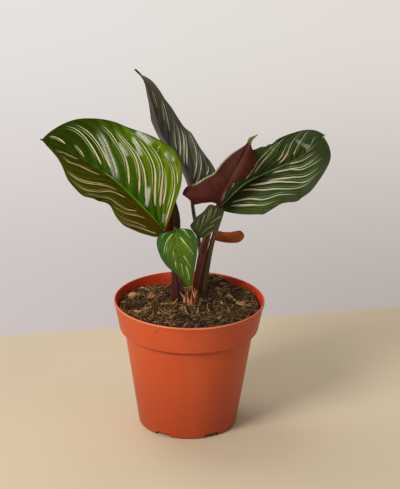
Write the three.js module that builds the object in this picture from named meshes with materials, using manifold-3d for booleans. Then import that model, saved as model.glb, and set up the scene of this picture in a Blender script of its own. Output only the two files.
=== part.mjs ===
// A small pin-stripe calathea growing in a 12 cm plastic nursery pot.
// Millimetres, +Z up. The origin is the middle of the pot's flat underside, and -Y is the front.
import * as THREE from 'three';
import { mergeVertices } from 'three/addons/utils/BufferGeometryUtils.js';
import Module from 'manifold-3d';

const wasm = await Module();
wasm.setup();

// Pot
const POT_HEIGHT = 105;
const RIM_RADIUS = 60;
const COLLAR_DEPTH = 24;
const COLLAR_FOOT_RADIUS = 55.4;
const BODY_TOP_RADIUS = 51.6;
const BASE_RADIUS = 39.3;
const BASE_CORNER = 2;
const WALL = 1.4;
const FLOOR = 2;
const LIP_WIDTH = 1.8;
const LIP_DEPTH = 2.5;
const LIP_ROUND = 0.4;
const POT_SEGMENTS = 48;
const NOTCH_COUNT = 6;
const NOTCH_WIDTH = 13;
const NOTCH_HEIGHT = 3.2;
const NOTCH_REACH = 5;

// Soil: it stands SOIL_DROP under the rim, and these mounds lift it or hollow it out
const SOIL_GAP = 0.5;
const SOIL_DROP = 7.5;
const SOIL_RINGS = [1, 0.84, 0.68, 0.52, 0.36, 0.2, 0.07];
const MOUNDS = [
  { x: 19, y: 46, height: 7.5, spread: 8 },
  { x: -14, y: 52, height: -2.5, spread: 12 },
  { x: 2, y: 12, height: 4, spread: 17 },
  { x: -24, y: -22, height: 2, spread: 12 },
  { x: 28, y: -24, height: 2.2, spread: 12 },
  { x: 2, y: -44, height: 1.8, spread: 12 },
];

// Leaves, stalks and what lies in the soil
const BLADE_THICKNESS = 0.7;
const BLADE_START = 1.3;
const STALK_SIDES = 8;
const POCKET_GAP = 0.35;
const CHIP_SUNK = 0.15;

// Colours
const TERRACOTTA = 0xb4502c;
const EARTH = 0x4a3524;
const BRIGHT_GREEN = 0x4d7a1d;
const DARK_GREEN = 0x2c3d24;
const BURGUNDY = 0x53261f;
const RUST = 0x8a4a2c;
const STALK_RED = 0x4a2320;
const STALK_OLIVE = 0x5a4a2a;
const BARK = 0x8a5a3c;
const STRAW = 0xb49258;
const PALE = 0xcbb890;
const MOSS = 0x7a7a34;

const TURN = 2 * Math.PI;
const toRadians = THREE.MathUtils.degToRad;

// A smooth value between evenly spaced ones, for t from 0 to 1.
function along(values, t) {
  const place = t * (values.length - 1);
  const i = Math.min(Math.floor(place), values.length - 2);
  const f = place - i;
  const at = (k) => values[Math.max(0, Math.min(values.length - 1, k))];
  const rise = at(i + 1) - at(i);
  const slopeIn = (at(i + 1) - at(i - 1)) / 2;
  const slopeOut = (at(i + 2) - at(i)) / 2;
  return at(i) + f * slopeIn + f * f * (3 * rise - 2 * slopeIn - slopeOut)
    + f * f * f * (slopeIn + slopeOut - 2 * rise);
}

// The same for points and directions, given as [x, y, z].
function alongPoints(points, t) {
  const pick = (axis) => along(points.map((point) => point[axis]), t);
  return new THREE.Vector3(pick(0), pick(1), pick(2));
}

// A closed geometry from points and triangles.
function closedGeometry(points, triangles) {
  const geometry = new THREE.BufferGeometry();
  const numbers = points.flatMap((point) => [point.x, point.y, point.z]);
  geometry.setAttribute('position', new THREE.Float32BufferAttribute(numbers, 3));
  geometry.setIndex(triangles);
  geometry.computeVertexNormals();
  return geometry;
}

// A geometry as a solid that can be cut.
function solidOf(geometry) {
  const bare = geometry.clone();
  bare.deleteAttribute('normal');
  bare.deleteAttribute('uv');
  const merged = mergeVertices(bare, 1e-4);
  return new wasm.Manifold(new wasm.Mesh({
    numProp: 3,
    vertProperties: merged.attributes.position.array,
    triVerts: new Uint32Array(merged.index.array),
  }));
}

// A solid as a geometry again.
function geometryOf(solid) {
  const mesh = solid.getMesh();
  const geometry = new THREE.BufferGeometry();
  geometry.setAttribute('position', new THREE.BufferAttribute(mesh.vertProperties, 3));
  geometry.setIndex(new THREE.BufferAttribute(mesh.triVerts, 1));
  geometry.computeVertexNormals();
  return geometry;
}

// One geometry with others cut out of it.
function cut(geometry, cutters) {
  let solid = solidOf(geometry);
  for (const cutter of cutters) solid = solid.subtract(solidOf(cutter));
  return geometryOf(solid);
}

// The blades

// Half a blade's width at t, rounded off at both ends.
// A drip tip is a thin tail past the place where the outline has closed.
function halfWidth(half, t) {
  const u = Math.min(1, t / (1 - half.drip));
  const rounding = Math.pow(Math.sin(Math.PI * u), half.ends ?? 0.6);
  const tail = BLADE_START * (1 - 0.6 * t);
  return Math.max(tail, along(half.width, t) * rounding);
}

// Where a blade's cross-section runs, from the midrib out to the margin, as [across, lift] pairs.
// The half leaves the midrib at its fold angle and turns by its curl on the way out.
function halfSection(half, t, columns) {
  const width = halfWidth(half, t);
  const fold = along(half.fold, t);
  const curl = along(half.curl ?? [0, 0], t);
  const points = [[0, 0]];
  let across = 0;
  let lift = 0;
  for (let column = 0; column < columns; column += 1) {
    const angle = toRadians(fold + curl * (column + 0.5) / columns);
    across += width * Math.cos(angle) / columns;
    lift += width * Math.sin(angle) / columns;
    points.push([across, lift]);
  }
  return points;
}

// One line of a half that fans out from the midrib, with its fold, curl, wave and sweep.
function fannedLine(blade, half, side, t) {
  const [rows, columns] = blade.grid;
  const reach = 0.5 / rows;
  const rib = alongPoints(blade.midrib, t);
  const ahead = alongPoints(blade.midrib, Math.min(1, t + reach));
  const behind = alongPoints(blade.midrib, Math.max(0, t - reach));
  const forward = ahead.sub(behind).normalize();
  const facing = alongPoints(blade.faces, t);
  facing.addScaledVector(forward, -facing.dot(forward)).normalize();
  const right = new THREE.Vector3().crossVectors(forward, facing);
  const [height, count, phase] = half.wave ?? [0, 1, 0];
  const sweep = along(half.sweep ?? [0, 0], t);
  return halfSection(half, t, columns).map(([across, lift], column) => {
    const v = column / columns;
    const wave = height * v * v * Math.sin(TURN * (count * t + phase));
    return rib.clone()
      .addScaledVector(right, side * across)
      .addScaledVector(facing, lift + wave)
      .addScaledVector(forward, -sweep * v ** 1.3);
  });
}

// One line of a half that is stretched from the midrib to a margin of its own, with a belly between.
function stretchedLine(blade, half, t) {
  const [, columns] = blade.grid;
  const rib = alongPoints(blade.midrib, t);
  const margin = alongPoints(half.margin, t);
  const belly = alongPoints(half.belly, t);
  const line = [];
  for (let column = 0; column <= columns; column += 1) {
    const v = column / columns;
    const bulge = Math.sin(Math.PI * v) * (1 - 0.3 * v);
    line.push(rib.clone().lerp(margin, v).addScaledVector(belly, bulge));
  }
  return line;
}

// A blade's middle surface as lines of points, each line from the left margin to the right one.
function bladeGrid(blade) {
  const [rows] = blade.grid;
  const grid = [];
  for (let row = 0; row <= rows; row += 1) {
    const t = row / rows;
    const [left, right] = [[blade.left, -1], [blade.right, 1]].map(([half, side]) => (
      half.margin ? stretchedLine(blade, half, t) : fannedLine(blade, half, side, t)));
    grid.push([...left.reverse().slice(0, -1), ...right]);
  }
  return grid;
}

// The outward direction of the top side at one grid point.
function gridNormal(grid, row, column) {
  const lastRow = grid.length - 1;
  const lastColumn = grid[0].length - 1;
  const tipwards = grid[Math.min(lastRow, row + 1)][column].clone();
  tipwards.sub(grid[Math.max(0, row - 1)][column]);
  const across = grid[row][Math.min(lastColumn, column + 1)].clone();
  across.sub(grid[row][Math.max(0, column - 1)]);
  return across.cross(tipwards).normalize();
}

// A thin closed shell round a blade's middle surface.
function bladeGeometry(blade) {
  const [rows, columns] = blade.grid;
  const grid = bladeGrid(blade);
  const wide = 2 * columns + 1;
  const top = [];
  const under = [];
  grid.forEach((line, row) => line.forEach((point, column) => {
    const normal = gridNormal(grid, row, column);
    top.push(point.clone().addScaledVector(normal, BLADE_THICKNESS / 2));
    under.push(point.clone().addScaledVector(normal, -BLADE_THICKNESS / 2));
  }));
  const triangles = [];
  const quad = (a, b, c, d) => triangles.push(a, b, c, a, c, d);
  const at = (row, column, layer) => layer * top.length + row * wide + column;
  for (let row = 0; row < rows; row += 1) {
    const next = row + 1;
    for (let column = 0; column < wide - 1; column += 1) {
      quad(at(row, column, 0), at(row, column + 1, 0), at(next, column + 1, 0), at(next, column, 0));
      quad(at(row, column, 1), at(next, column, 1), at(next, column + 1, 1), at(row, column + 1, 1));
    }
    quad(at(row, 0, 0), at(next, 0, 0), at(next, 0, 1), at(row, 0, 1));
    quad(at(row, wide - 1, 0), at(row, wide - 1, 1), at(next, wide - 1, 1), at(next, wide - 1, 0));
  }
  for (let column = 0; column < wide - 1; column += 1) {
    quad(at(0, column, 0), at(0, column, 1), at(0, column + 1, 1), at(0, column + 1, 0));
    quad(at(rows, column, 0), at(rows, column + 1, 0), at(rows, column + 1, 1), at(rows, column, 1));
  }
  return closedGeometry([...top, ...under], triangles);
}

// Stalks, twigs and husks

// A closed tube along a smooth line of points, whose radius follows evenly spaced values.
// With extra, it is the pocket that the tube sits in.
function stalkGeometry({ points, radii, steps = 10 }, extra = 0) {
  const curve = new THREE.CatmullRomCurve3(points.map((point) => new THREE.Vector3(...point)));
  const frames = curve.computeFrenetFrames(steps, false);
  const skin = [];
  for (let step = 0; step <= steps; step += 1) {
    const centre = curve.getPointAt(step / steps);
    if (step === 0) centre.addScaledVector(curve.getTangentAt(0), -extra);
    if (step === steps) centre.addScaledVector(curve.getTangentAt(1), extra);
    const radius = along(radii, step / steps) + extra;
    for (let side = 0; side < STALK_SIDES; side += 1) {
      const angle = TURN * side / STALK_SIDES;
      skin.push(centre.clone()
        .addScaledVector(frames.normals[step], radius * Math.cos(angle))
        .addScaledVector(frames.binormals[step], radius * Math.sin(angle)));
    }
  }
  const foot = curve.getPointAt(0).addScaledVector(curve.getTangentAt(0), -extra);
  const head = curve.getPointAt(1).addScaledVector(curve.getTangentAt(1), extra);
  const triangles = [];
  const at = (step, side) => step * STALK_SIDES + side % STALK_SIDES;
  for (let side = 0; side < STALK_SIDES; side += 1) {
    for (let step = 0; step < steps; step += 1) {
      triangles.push(at(step, side), at(step, side + 1), at(step + 1, side + 1));
      triangles.push(at(step, side), at(step + 1, side + 1), at(step + 1, side));
    }
    triangles.push(skin.length, at(0, side + 1), at(0, side));
    triangles.push(skin.length + 1, at(steps, side), at(steps, side + 1));
  }
  return closedGeometry([...skin, foot, head], triangles);
}

// The pot

// The outside, over the lip, and down the inside again, turned about the axis.
function potGeometry() {
  const ledge = POT_HEIGHT - COLLAR_DEPTH;
  const outline = [
    [0, 0],
    [BASE_RADIUS - BASE_CORNER, 0],
    [BASE_RADIUS - BASE_CORNER / 3.4, BASE_CORNER / 3.4],
    [BASE_RADIUS, BASE_CORNER],
    [BODY_TOP_RADIUS, ledge],
    [COLLAR_FOOT_RADIUS - LIP_ROUND, ledge],
    [COLLAR_FOOT_RADIUS, ledge + LIP_ROUND],
    [RIM_RADIUS - LIP_ROUND, POT_HEIGHT - LIP_DEPTH],
    [RIM_RADIUS, POT_HEIGHT - LIP_DEPTH + LIP_ROUND],
    [RIM_RADIUS, POT_HEIGHT - LIP_ROUND],
    [RIM_RADIUS - LIP_ROUND, POT_HEIGHT],
    [RIM_RADIUS - LIP_WIDTH + LIP_ROUND, POT_HEIGHT],
    [RIM_RADIUS - LIP_WIDTH, POT_HEIGHT - LIP_ROUND],
    [COLLAR_FOOT_RADIUS - WALL, ledge + WALL],
    [BODY_TOP_RADIUS - WALL, ledge + WALL],
    [BASE_RADIUS - WALL, FLOOR + BASE_CORNER],
    [BASE_RADIUS - WALL - BASE_CORNER, FLOOR],
    [0, FLOOR],
  ];
  const points = outline.map(([radius, height]) => new THREE.Vector2(radius, height));
  const shell = new THREE.LatheGeometry(points, POT_SEGMENTS).rotateX(Math.PI / 2);
  const notches = [];
  for (let notch = 0; notch < NOTCH_COUNT; notch += 1) {
    const opening = new THREE.BoxGeometry(2 * NOTCH_REACH, NOTCH_WIDTH, 2 * NOTCH_HEIGHT);
    opening.translate(BASE_RADIUS, 0, 0).rotateZ(TURN * notch / NOTCH_COUNT);
    notches.push(opening);
  }
  return cut(shell, notches);
}

// The soil

// The height of the soil's top at one place.
function soilHeight(x, y) {
  const level = POT_HEIGHT - SOIL_DROP;
  return MOUNDS.reduce((height, mound) => {
    const distance = Math.hypot(x - mound.x, y - mound.y);
    return height + mound.height * Math.exp(-((distance / mound.spread) ** 2) / 2);
  }, level);
}

// The soil fills the pot inside a small gap. The plant and the loose bits have pockets in it.
function soilGeometry(pockets) {
  const ledge = POT_HEIGHT - COLLAR_DEPTH + WALL + SOIL_GAP;
  const inset = WALL + SOIL_GAP;
  const collarSlope = (RIM_RADIUS - COLLAR_FOOT_RADIUS) / COLLAR_DEPTH;
  const topRadius = COLLAR_FOOT_RADIUS - inset + collarSlope * (COLLAR_DEPTH - SOIL_DROP - LIP_DEPTH);
  const walls = [
    [BASE_RADIUS - inset - BASE_CORNER, FLOOR + SOIL_GAP],
    [BASE_RADIUS - inset, FLOOR + BASE_CORNER + SOIL_GAP],
    [BODY_TOP_RADIUS - inset, ledge],
    [COLLAR_FOOT_RADIUS - inset, ledge],
  ];
  const points = [new THREE.Vector3(0, 0, FLOOR + SOIL_GAP)];
  const around = (radius, heightAt) => {
    for (let segment = 0; segment < POT_SEGMENTS; segment += 1) {
      const angle = TURN * segment / POT_SEGMENTS;
      const x = radius * Math.cos(angle);
      const y = radius * Math.sin(angle);
      points.push(new THREE.Vector3(x, y, heightAt(x, y)));
    }
  };
  for (const [radius, height] of walls) around(radius, () => height);
  for (const share of SOIL_RINGS) around(share * topRadius, soilHeight);
  points.push(new THREE.Vector3(0, 0, soilHeight(0, 0)));
  const rings = walls.length + SOIL_RINGS.length;
  const triangles = [];
  const at = (ring, segment) => 1 + ring * POT_SEGMENTS + segment % POT_SEGMENTS;
  for (let segment = 0; segment < POT_SEGMENTS; segment += 1) {
    triangles.push(0, at(0, segment + 1), at(0, segment));
    for (let ring = 0; ring < rings - 1; ring += 1) {
      triangles.push(at(ring, segment), at(ring, segment + 1), at(ring + 1, segment + 1));
      triangles.push(at(ring, segment), at(ring + 1, segment + 1), at(ring + 1, segment));
    }
    triangles.push(points.length - 1, at(rings - 1, segment), at(rings - 1, segment + 1));
  }
  return cut(closedGeometry(points, triangles), pockets);
}

// A flat rounded chip lying half sunk in the soil.
function chipGeometry({ x, y, size, turn = 0, tilt = 0 }, extra = 0) {
  const [length, width, thickness] = size;
  const chip = new THREE.IcosahedronGeometry(0.5, 1);
  chip.scale(length + 2 * extra, width + 2 * extra, thickness + 2 * extra);
  chip.rotateX(toRadians(tilt)).rotateZ(toRadians(turn));
  return chip.translate(x, y, soilHeight(x, y) + thickness * CHIP_SUNK);
}

// A bent twig, straw or husk on the soil: its points are [x, y, height over the soil].
function twigGeometry({ path, radii }, extra = 0) {
  const points = path.map(([x, y, height]) => [x, y, soilHeight(x, y) + height]);
  return stalkGeometry({ points, radii, steps: 6 }, extra);
}

// Blades. The midrib runs from the stalk to the tip, and faces gives where the top side looks.
// Seen from the top side with the tip away, left and right are the halves. Along the blade, width is
// in millimetres, fold and curl are degrees, and sweep draws the margin back towards the stalk.
// A wave is its height, how often it comes and where it starts. A half with a margin is stretched
// from the midrib to that line, and its belly, from stalk to tip, bulges it out in between.
const BLADES = {
  left_leaf: {
    colour: BRIGHT_GREEN,
    grid: [18, 4],
    midrib: [
      [-21, -2, 163], [-40, -7, 187], [-59, -11, 208], [-77, -14, 221], [-97, -17, 234],
      [-118, -20, 244],
    ],
    faces: [[0.3, -0.75, 0.6], [0.3, -0.75, 0.6], [0.2, -0.8, 0.6]],
    left: {
      width: [40, 39, 35, 43, 60], drip: 0.12, fold: [12, 28, 20], curl: [10, 0, -20],
      wave: [2, 2, 0],
    },
    right: { width: [40, 55, 44, 42, 50], drip: 0.05, fold: [28, 28, 20], curl: [0, -10, -20] },
  },
  back_leaf: {
    colour: DARK_GREEN,
    grid: [18, 4],
    midrib: [
      [1, 30, 173.8], [3, 32, 186.8], [-10, 39, 204.8], [-23, 47, 220.8], [-31, 55, 243.8],
      [-38, 61, 264.8], [-47, 63, 274.8],
    ],
    faces: [[0.7, -0.4, 0.4], [0.74, -0.31, 0.58], [0.74, -0.31, 0.5]],
    left: { width: [8, 24, 25, 20, 8], drip: 0.07, fold: [22, 22] },
    right: { width: [26, 33, 30, 22, 8], drip: 0.07, fold: [22, 22], curl: [0, -10, -10] },
  },
  middle_leaf: {
    colour: BURGUNDY,
    grid: [18, 4],
    midrib: [
      [22.3, 5.7, 184], [23.5, 3, 188], [24, 1, 192], [25.5, -1, 196], [28.5, -2, 202],
      [32, -2, 210.5], [37.5, 1, 221], [44.5, 7, 234.5], [51.5, 7, 241.5],
    ],
    left: {
      margin: [
        [23.5, 5.8, 184.2], [24.6, 5, 186.5], [24.5, 4, 190.5], [26, 4, 194.5], [28.5, 4, 198.5],
        [33, 5, 203], [38.5, 7, 204.5], [45, 9, 207.5], [50, 11, 215.5], [49.5, 11, 223.5],
        [46.5, 8, 234], [51.8, 7, 241],
      ],
      belly: [[0, 0, 0], [0, 0, 0], [0, -3, 0], [0, -3, 0], [0, 0, 0]],
    },
    right: {
      margin: [
        [21, 5.8, 184.3], [13, 4.5, 185], [3.5, 7.8, 183.2], [-3, 9, 186], [-6.5, 11, 190],
        [-4, 12, 195], [2.5, 10, 198.5], [10, 8, 204.5], [17.5, 8, 208.5], [23.5, 9, 217],
        [31, 10, 224], [38.5, 10, 229.5], [43, 10, 233], [45, 10, 237.5], [51, 7, 242],
      ],
      belly: [[0, 0, 0], [0, -4, 0], [0, -5, 1], [0, -4, 1], [0, 0, 0]],
    },
  },
  right_leaf: {
    colour: DARK_GREEN,
    grid: [18, 4],
    midrib: [
      [26, 24, 175.1], [41, 24, 192.1], [59, 23, 203.1], [77, 20, 212.1],
      [89, 16, 224.1], [104.5, 12, 239.2],
    ],
    faces: [[0, -0.9, 0.35], [0, -0.9, 0.35]],
    left: { width: [22, 25, 27, 28, 32, 34, 50], drip: 0.02, fold: [30, 40, 30] },
    right: { width: [36, 37, 30, 30, 50], drip: 0.02, fold: [30, 25, 20], wave: [3, 2, 0] },
  },
  front_leaf: {
    colour: BRIGHT_GREEN,
    grid: [12, 3],
    midrib: [[-12, -11, 166], [-10, -17, 156], [-6, -20, 142], [0, -22, 123]],
    faces: [[0, -0.7, 0.7], [0, -1, 0.3], [0, -1, 0.1]],
    left: {
      width: [29, 20, 16, 13, 8], drip: 0.03, fold: [10, 10], curl: [-16, -14, 0],
      sweep: [4, 1, 0, 0],
    },
    right: {
      width: [29, 19, 14, 10, 6], drip: 0.03, fold: [10, 10], curl: [-16, -14, 0],
      sweep: [4, 1, 0, 0],
    },
  },
  small_leaf: {
    colour: DARK_GREEN,
    grid: [10, 3],
    midrib: [[22, 1, 181.8], [15, -3, 171.8], [10, -6, 163.8], [6, -8, 157.8]],
    faces: [[-0.3, -0.9, 0.3], [-0.3, -0.9, 0.3]],
    left: { width: [9, 10, 10, 10, 10], drip: 0.04, fold: [20, 20] },
    right: { width: [12, 13, 14, 15, 18], drip: 0.04, fold: [10, 10] },
  },
  young_leaf: {
    colour: BURGUNDY,
    grid: [12, 3],
    midrib: [
      [-14, 12, 143], [-13.5, 10, 154], [-13, 9.5, 164], [-13, 10, 174], [-13, 12, 181], [-12.5, 13, 184.5],
    ],
    left: {
      margin: [
        [-15.3, 12.4, 143.2], [-19, 11, 152], [-20.5, 10, 162], [-19.5, 10.5, 172], [-16, 12, 180],
        [-13.2, 13, 184.6],
      ],
      belly: [[0, 0, 0], [0, -2, 0], [0, 0, 0]],
    },
    right: {
      margin: [
        [-12.7, 12.6, 143.2], [-9, 15, 151], [-8, 16.5, 160], [-8.5, 16.5, 169], [-10.5, 15, 178],
        [-11.8, 13, 184.6],
      ],
      belly: [[0, 0, 0], [1, -1.5, 0], [0, 0, 0]],
    },
  },
  side_leaf: {
    colour: RUST,
    grid: [10, 3],
    midrib: [[17, 26, 147], [27, 31, 143.5], [35, 36, 141], [43, 41, 141]],
    faces: [[0, 0.3, 1], [0, 0.3, 1]],
    left: { width: [8, 8, 8, 9, 11], drip: 0, ends: 0.4, fold: [50, 50], curl: [20, 20] },
    right: { width: [8, 8, 8, 9, 11], drip: 0, ends: 0.4, fold: [50, 50], curl: [20, 20] },
  },
};

// Stalks, from their foot in the soil to the blade, and the dry sheath that an old stalk left.
const STALKS = {
  left_leaf_stalk: {
    colour: STALK_RED,
    points: [[-10.6, 5.5, 88], [-10.6, 5.5, 102], [-12, 4.5, 125], [-15, 1.5, 148], [-20.7, -1.9, 162.6]],
    radii: [2.7, 2.6, 2.2, 1.8, 1.4],
  },
  front_leaf_stalk: {
    colour: STALK_RED,
    points: [
      [-6, 4, 88], [-6, 4, 102], [-7.3, 3, 125], [-9.4, 3, 155],
      [-11.4, -2.6, 165.8], [-12.2, -9.3, 167.2],
    ],
    radii: [1.6, 1.6, 1.4, 1.2, 1.1, 1],
  },
  young_leaf_stalk: {
    colour: STALK_RED,
    points: [[-12.5, 12, 88], [-12.5, 12, 102], [-13.4, 12.2, 125], [-14, 12, 142.6]],
    radii: [1.6, 1.5, 1.3, 1.1],
  },
  back_leaf_stalk: {
    colour: STALK_RED,
    points: [
      [9.5, 27, 88], [9.5, 27, 102], [8.5, 27.5, 125], [6.3, 27.3, 149.3],
      [3, 28, 163.8], [0.5, 29.9, 172.9],
    ],
    radii: [1.6, 1.5, 1.3, 1.2, 1.2, 1.3],
  },
  middle_leaf_stalk: {
    colour: STALK_RED,
    points: [
      [5.3, 20.5, 88], [5.5, 20.5, 102], [9, 17.8, 130], [12, 15.5, 148],
      [17, 10, 168.8], [21.3, 5.2, 183.1],
    ],
    radii: [3.1, 3.1, 3, 2.7, 2, 1.4],
  },
  right_leaf_stalk: {
    colour: STALK_OLIVE,
    points: [
      [11, 21, 88], [11.2, 21, 102], [14.5, 18.5, 130], [18, 18.5, 148.5],
      [24, 21.8, 168], [25.7, 23.8, 174],
    ],
    radii: [1.9, 1.8, 1.7, 1.6, 1.6, 1.5],
  },
  small_leaf_stalk: {
    colour: STALK_RED,
    points: [[10.2, 12.2, 140], [14.2, 7.6, 158.5], [20.4, 3, 176.5], [23.1, 2.1, 182]],
    radii: [1.1, 1.1, 1, 0.9],
  },
  side_leaf_stalk: {
    colour: RUST,
    points: [[14.8, 21.7, 122], [15.8, 23, 134], [16.6, 25.4, 146.4]],
    radii: [0.9, 1, 1.1],
  },
  dry_sheath: {
    colour: STRAW,
    points: [[-0.3, 2, 90], [-0.4, 1.8, 101], [-1.1, 1, 111], [-1.8, 0, 119]],
    radii: [3.2, 3.6, 3, 1.6],
  },
};

// What lies in the soil: chips of bark, and bent twigs, straws and husks.
const CHIPS = {
  round_bark_chip: { colour: BARK, x: -30, y: 17, size: [7, 6, 4], turn: 20, tilt: 30 },
  pink_bark_chip: { colour: BARK, x: -45, y: 22, size: [11, 5, 3], turn: 25, tilt: 10 },
  middle_bark_chip: { colour: BARK, x: -21, y: 19, size: [5, 3, 2.4], turn: -20 },
  front_bark_chip: { colour: BARK, x: -16, y: -38, size: [7, 5, 3], turn: -10 },
  dark_bark_chip: { colour: BARK, x: -20, y: -23, size: [8, 5, 3], turn: -50 },
  back_bark_chip: { colour: BARK, x: 27, y: 38, size: [6, 4, 3], turn: 30 },
  pale_chip: { colour: PALE, x: 32, y: 17, size: [6, 3, 2.4], turn: -35 },
  pale_flake: { colour: PALE, x: -5, y: -9, size: [6, 3, 2], turn: 0 },
  perlite_right: { colour: PALE, x: 26, y: 4, size: [2.4, 2.4, 2.2] },
  perlite_front: { colour: PALE, x: -14, y: -27, size: [2.4, 2.2, 2.2] },
};

const TWIGS = {
  pale_twig: {
    colour: PALE,
    path: [[-41, 36, 0.6], [-37, 35, 1.4], [-32, 32, 0.8]],
    radii: [0.6, 0.8, 1.2],
  },
  root_tuft: {
    colour: STRAW,
    path: [[-22, -1, 0.8], [-17, -2, 1.6], [-12.5, -1, 1.2], [-9.5, 0, 4.5]],
    radii: [1, 1.8, 1.5, 0.6],
  },
  left_husk: {
    colour: STRAW,
    path: [[-44, -11, 0.8], [-39, -15, 0.6], [-34, -12, 1.6], [-31, -4, 0.8]],
    radii: [0.8, 1.1, 1, 0.6],
  },
  right_twig: {
    colour: STRAW,
    path: [[36, 12, 0.8], [39, 4, 1.8], [44, 1, 1.2], [50, 2, 0.9]],
    radii: [0.7, 1, 1.3, 0.9],
  },
  green_husk: {
    colour: MOSS,
    path: [[35, 1, 0.6], [34.5, -8, 1.6], [33, -18, 0.8]],
    radii: [0.7, 1.3, 0.8],
  },
  long_straw: {
    colour: STRAW,
    path: [[9, 10, 0.9], [8, -4, 1.3], [6, -19, 0.6]],
    radii: [0.6, 0.7, 0.6],
  },
};

const calathea = new THREE.Group();

// Adds one named piece in its own colour.
function add(name, geometry, colour, roughness) {
  const material = new THREE.MeshStandardMaterial({ color: colour, roughness, metalness: 0 });
  const mesh = new THREE.Mesh(geometry, material);
  mesh.name = name;
  calathea.add(mesh);
}

const pockets = [];
for (const [name, stalk] of Object.entries(STALKS)) {
  add(name, stalkGeometry(stalk), stalk.colour, 0.5);
  pockets.push(stalkGeometry(stalk, POCKET_GAP));
}
for (const [name, chip] of Object.entries(CHIPS)) {
  add(name, chipGeometry(chip), chip.colour, 0.9);
  pockets.push(chipGeometry(chip, POCKET_GAP));
}
for (const [name, twig] of Object.entries(TWIGS)) {
  add(name, twigGeometry(twig), twig.colour, 0.9);
  pockets.push(twigGeometry(twig, POCKET_GAP));
}
for (const [name, blade] of Object.entries(BLADES)) {
  add(name, bladeGeometry(blade), blade.colour, 0.4);
}
add('potting_soil', soilGeometry(pockets), EARTH, 1);
add('pot', potGeometry(), TERRACOTTA, 0.5);

export default calathea;
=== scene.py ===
# A small pin-stripe calathea in a terracotta coloured nursery pot, on a pale table.
# Leaves, stalks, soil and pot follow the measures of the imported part. Measures are in
# millimetres until a mesh is made. Every random number comes from a seed.
import math

import bmesh
import bpy
import numpy as np
from mathutils import Matrix, Vector, noise


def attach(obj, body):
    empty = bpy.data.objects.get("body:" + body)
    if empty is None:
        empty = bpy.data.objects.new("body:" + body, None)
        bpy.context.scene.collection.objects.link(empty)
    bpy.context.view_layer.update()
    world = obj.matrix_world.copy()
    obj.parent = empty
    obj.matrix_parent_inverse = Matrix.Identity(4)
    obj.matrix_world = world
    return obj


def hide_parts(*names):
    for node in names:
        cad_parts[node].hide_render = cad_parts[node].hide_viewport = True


MM = 0.001
TURN = 2 * math.pi

# Pot
POT_HEIGHT = 105
RIM_RADIUS = 60
COLLAR_DEPTH = 24
COLLAR_FOOT_RADIUS = 55.4
BODY_TOP_RADIUS = 51.6
BASE_RADIUS = 39.3
BASE_CORNER = 2
WALL = 1.4
FLOOR_THICKNESS = 2
LIP_WIDTH = 1.8
LIP_DEPTH = 2.5
LIP_ROUND = 0.8
COLLAR_ROUND = 1.6
NOTCH_COUNT = 6
NOTCH_WIDTH = 13
NOTCH_HEIGHT = 3.2
NOTCH_REACH = 5
NOTCH_ROUND = 1.2
POT_SEGMENTS = 192
POT_CREASE = 38

# Soil. A mound or hollow is its x, y, height and spread. Roughness is the scale, layer and height
# of each noise that it's made of.
SOIL_DROP = 7.5
SOIL_EDGE = 56.2
SOIL_FOOT = 5
SOIL_GAP = 2.2
SOIL_SHOULDER = 82
SOIL_RINGS = 96
SOIL_SEGMENTS = 200
MOUNDS = [
    (19, 46, 7.5, 8),
    (-14, 52, -2.5, 12),
    (2, 12, 4, 17),
    (-24, -22, 2, 12),
    (28, -24, 2.2, 12),
    (2, -44, 1.8, 12),
    (46, 24, 3.5, 13),
]
SOIL_ROUGHNESS = [(0.16, 0, 1.1), (0.42, 5, 0.9), (1.1, 9, 0.5)]
FIBRE_COUNT = 5600
FIBRE_EDGE = 55
FIBRE_REACH = 55.8
CRUMB_COUNT = 1300
CRUMB_EDGE = 54.6
CRUMB_TILT = 0.5

# Leaves
BLADE_START = 1.3
BLADE_HALF_THICKNESS = 0.16
GROOVE_DEPTH = 0.25
GROOVE_WIDTH = 0.7
TANGENT_REACH = 0.028
ROW_CROWDING = 0.7
COLUMN_CROWDING = 0.9
SWEEP_CURVE = 1.3
VEIN_CURVE = 1.15
RIBBED_WIDTH = 12
RUFFLED_WIDTH = 15
RUFFLES = 6.3
STRIPE_STEPS = 33

# Stalks and the dry sheath
STALK_RIBS = 9
STALK_SIDES = 24
STALK_STEPS = 60
SHEATH_FOOT = (0.6, 1.4, 93)
SHEATH_SWELL = 7
SHREDS = 22
STRANDS = 6

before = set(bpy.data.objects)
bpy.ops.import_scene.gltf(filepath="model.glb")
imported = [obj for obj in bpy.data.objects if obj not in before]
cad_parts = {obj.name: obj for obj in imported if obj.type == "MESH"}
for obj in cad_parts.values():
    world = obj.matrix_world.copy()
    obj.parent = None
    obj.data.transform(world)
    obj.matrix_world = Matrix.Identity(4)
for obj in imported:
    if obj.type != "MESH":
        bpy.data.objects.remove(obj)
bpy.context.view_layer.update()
scene = bpy.context.scene


# Camera

CAMERA_PLACE = (7.83, -1847.76, 870.37)
CAMERA_PITCH = 21.256
CAMERA_ROLL = 0.9
LENS = 185.0
GLOW = 0.3


def set_camera():
    """The photograph's view: a long lens, a little above the plant."""
    data = bpy.data.cameras.new("camera")
    data.lens = LENS
    data.sensor_width = 36
    camera = bpy.data.objects.new("camera", data)
    scene.collection.objects.link(camera)
    tilt = Matrix.Rotation(math.radians(90 - CAMERA_PITCH), 4, "X")
    roll = Matrix.Rotation(math.radians(CAMERA_ROLL), 4, "Z")
    camera.matrix_world = Matrix.Translation(Vector(CAMERA_PLACE) * MM) @ tilt @ roll
    scene.camera = camera


# Numbers

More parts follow.
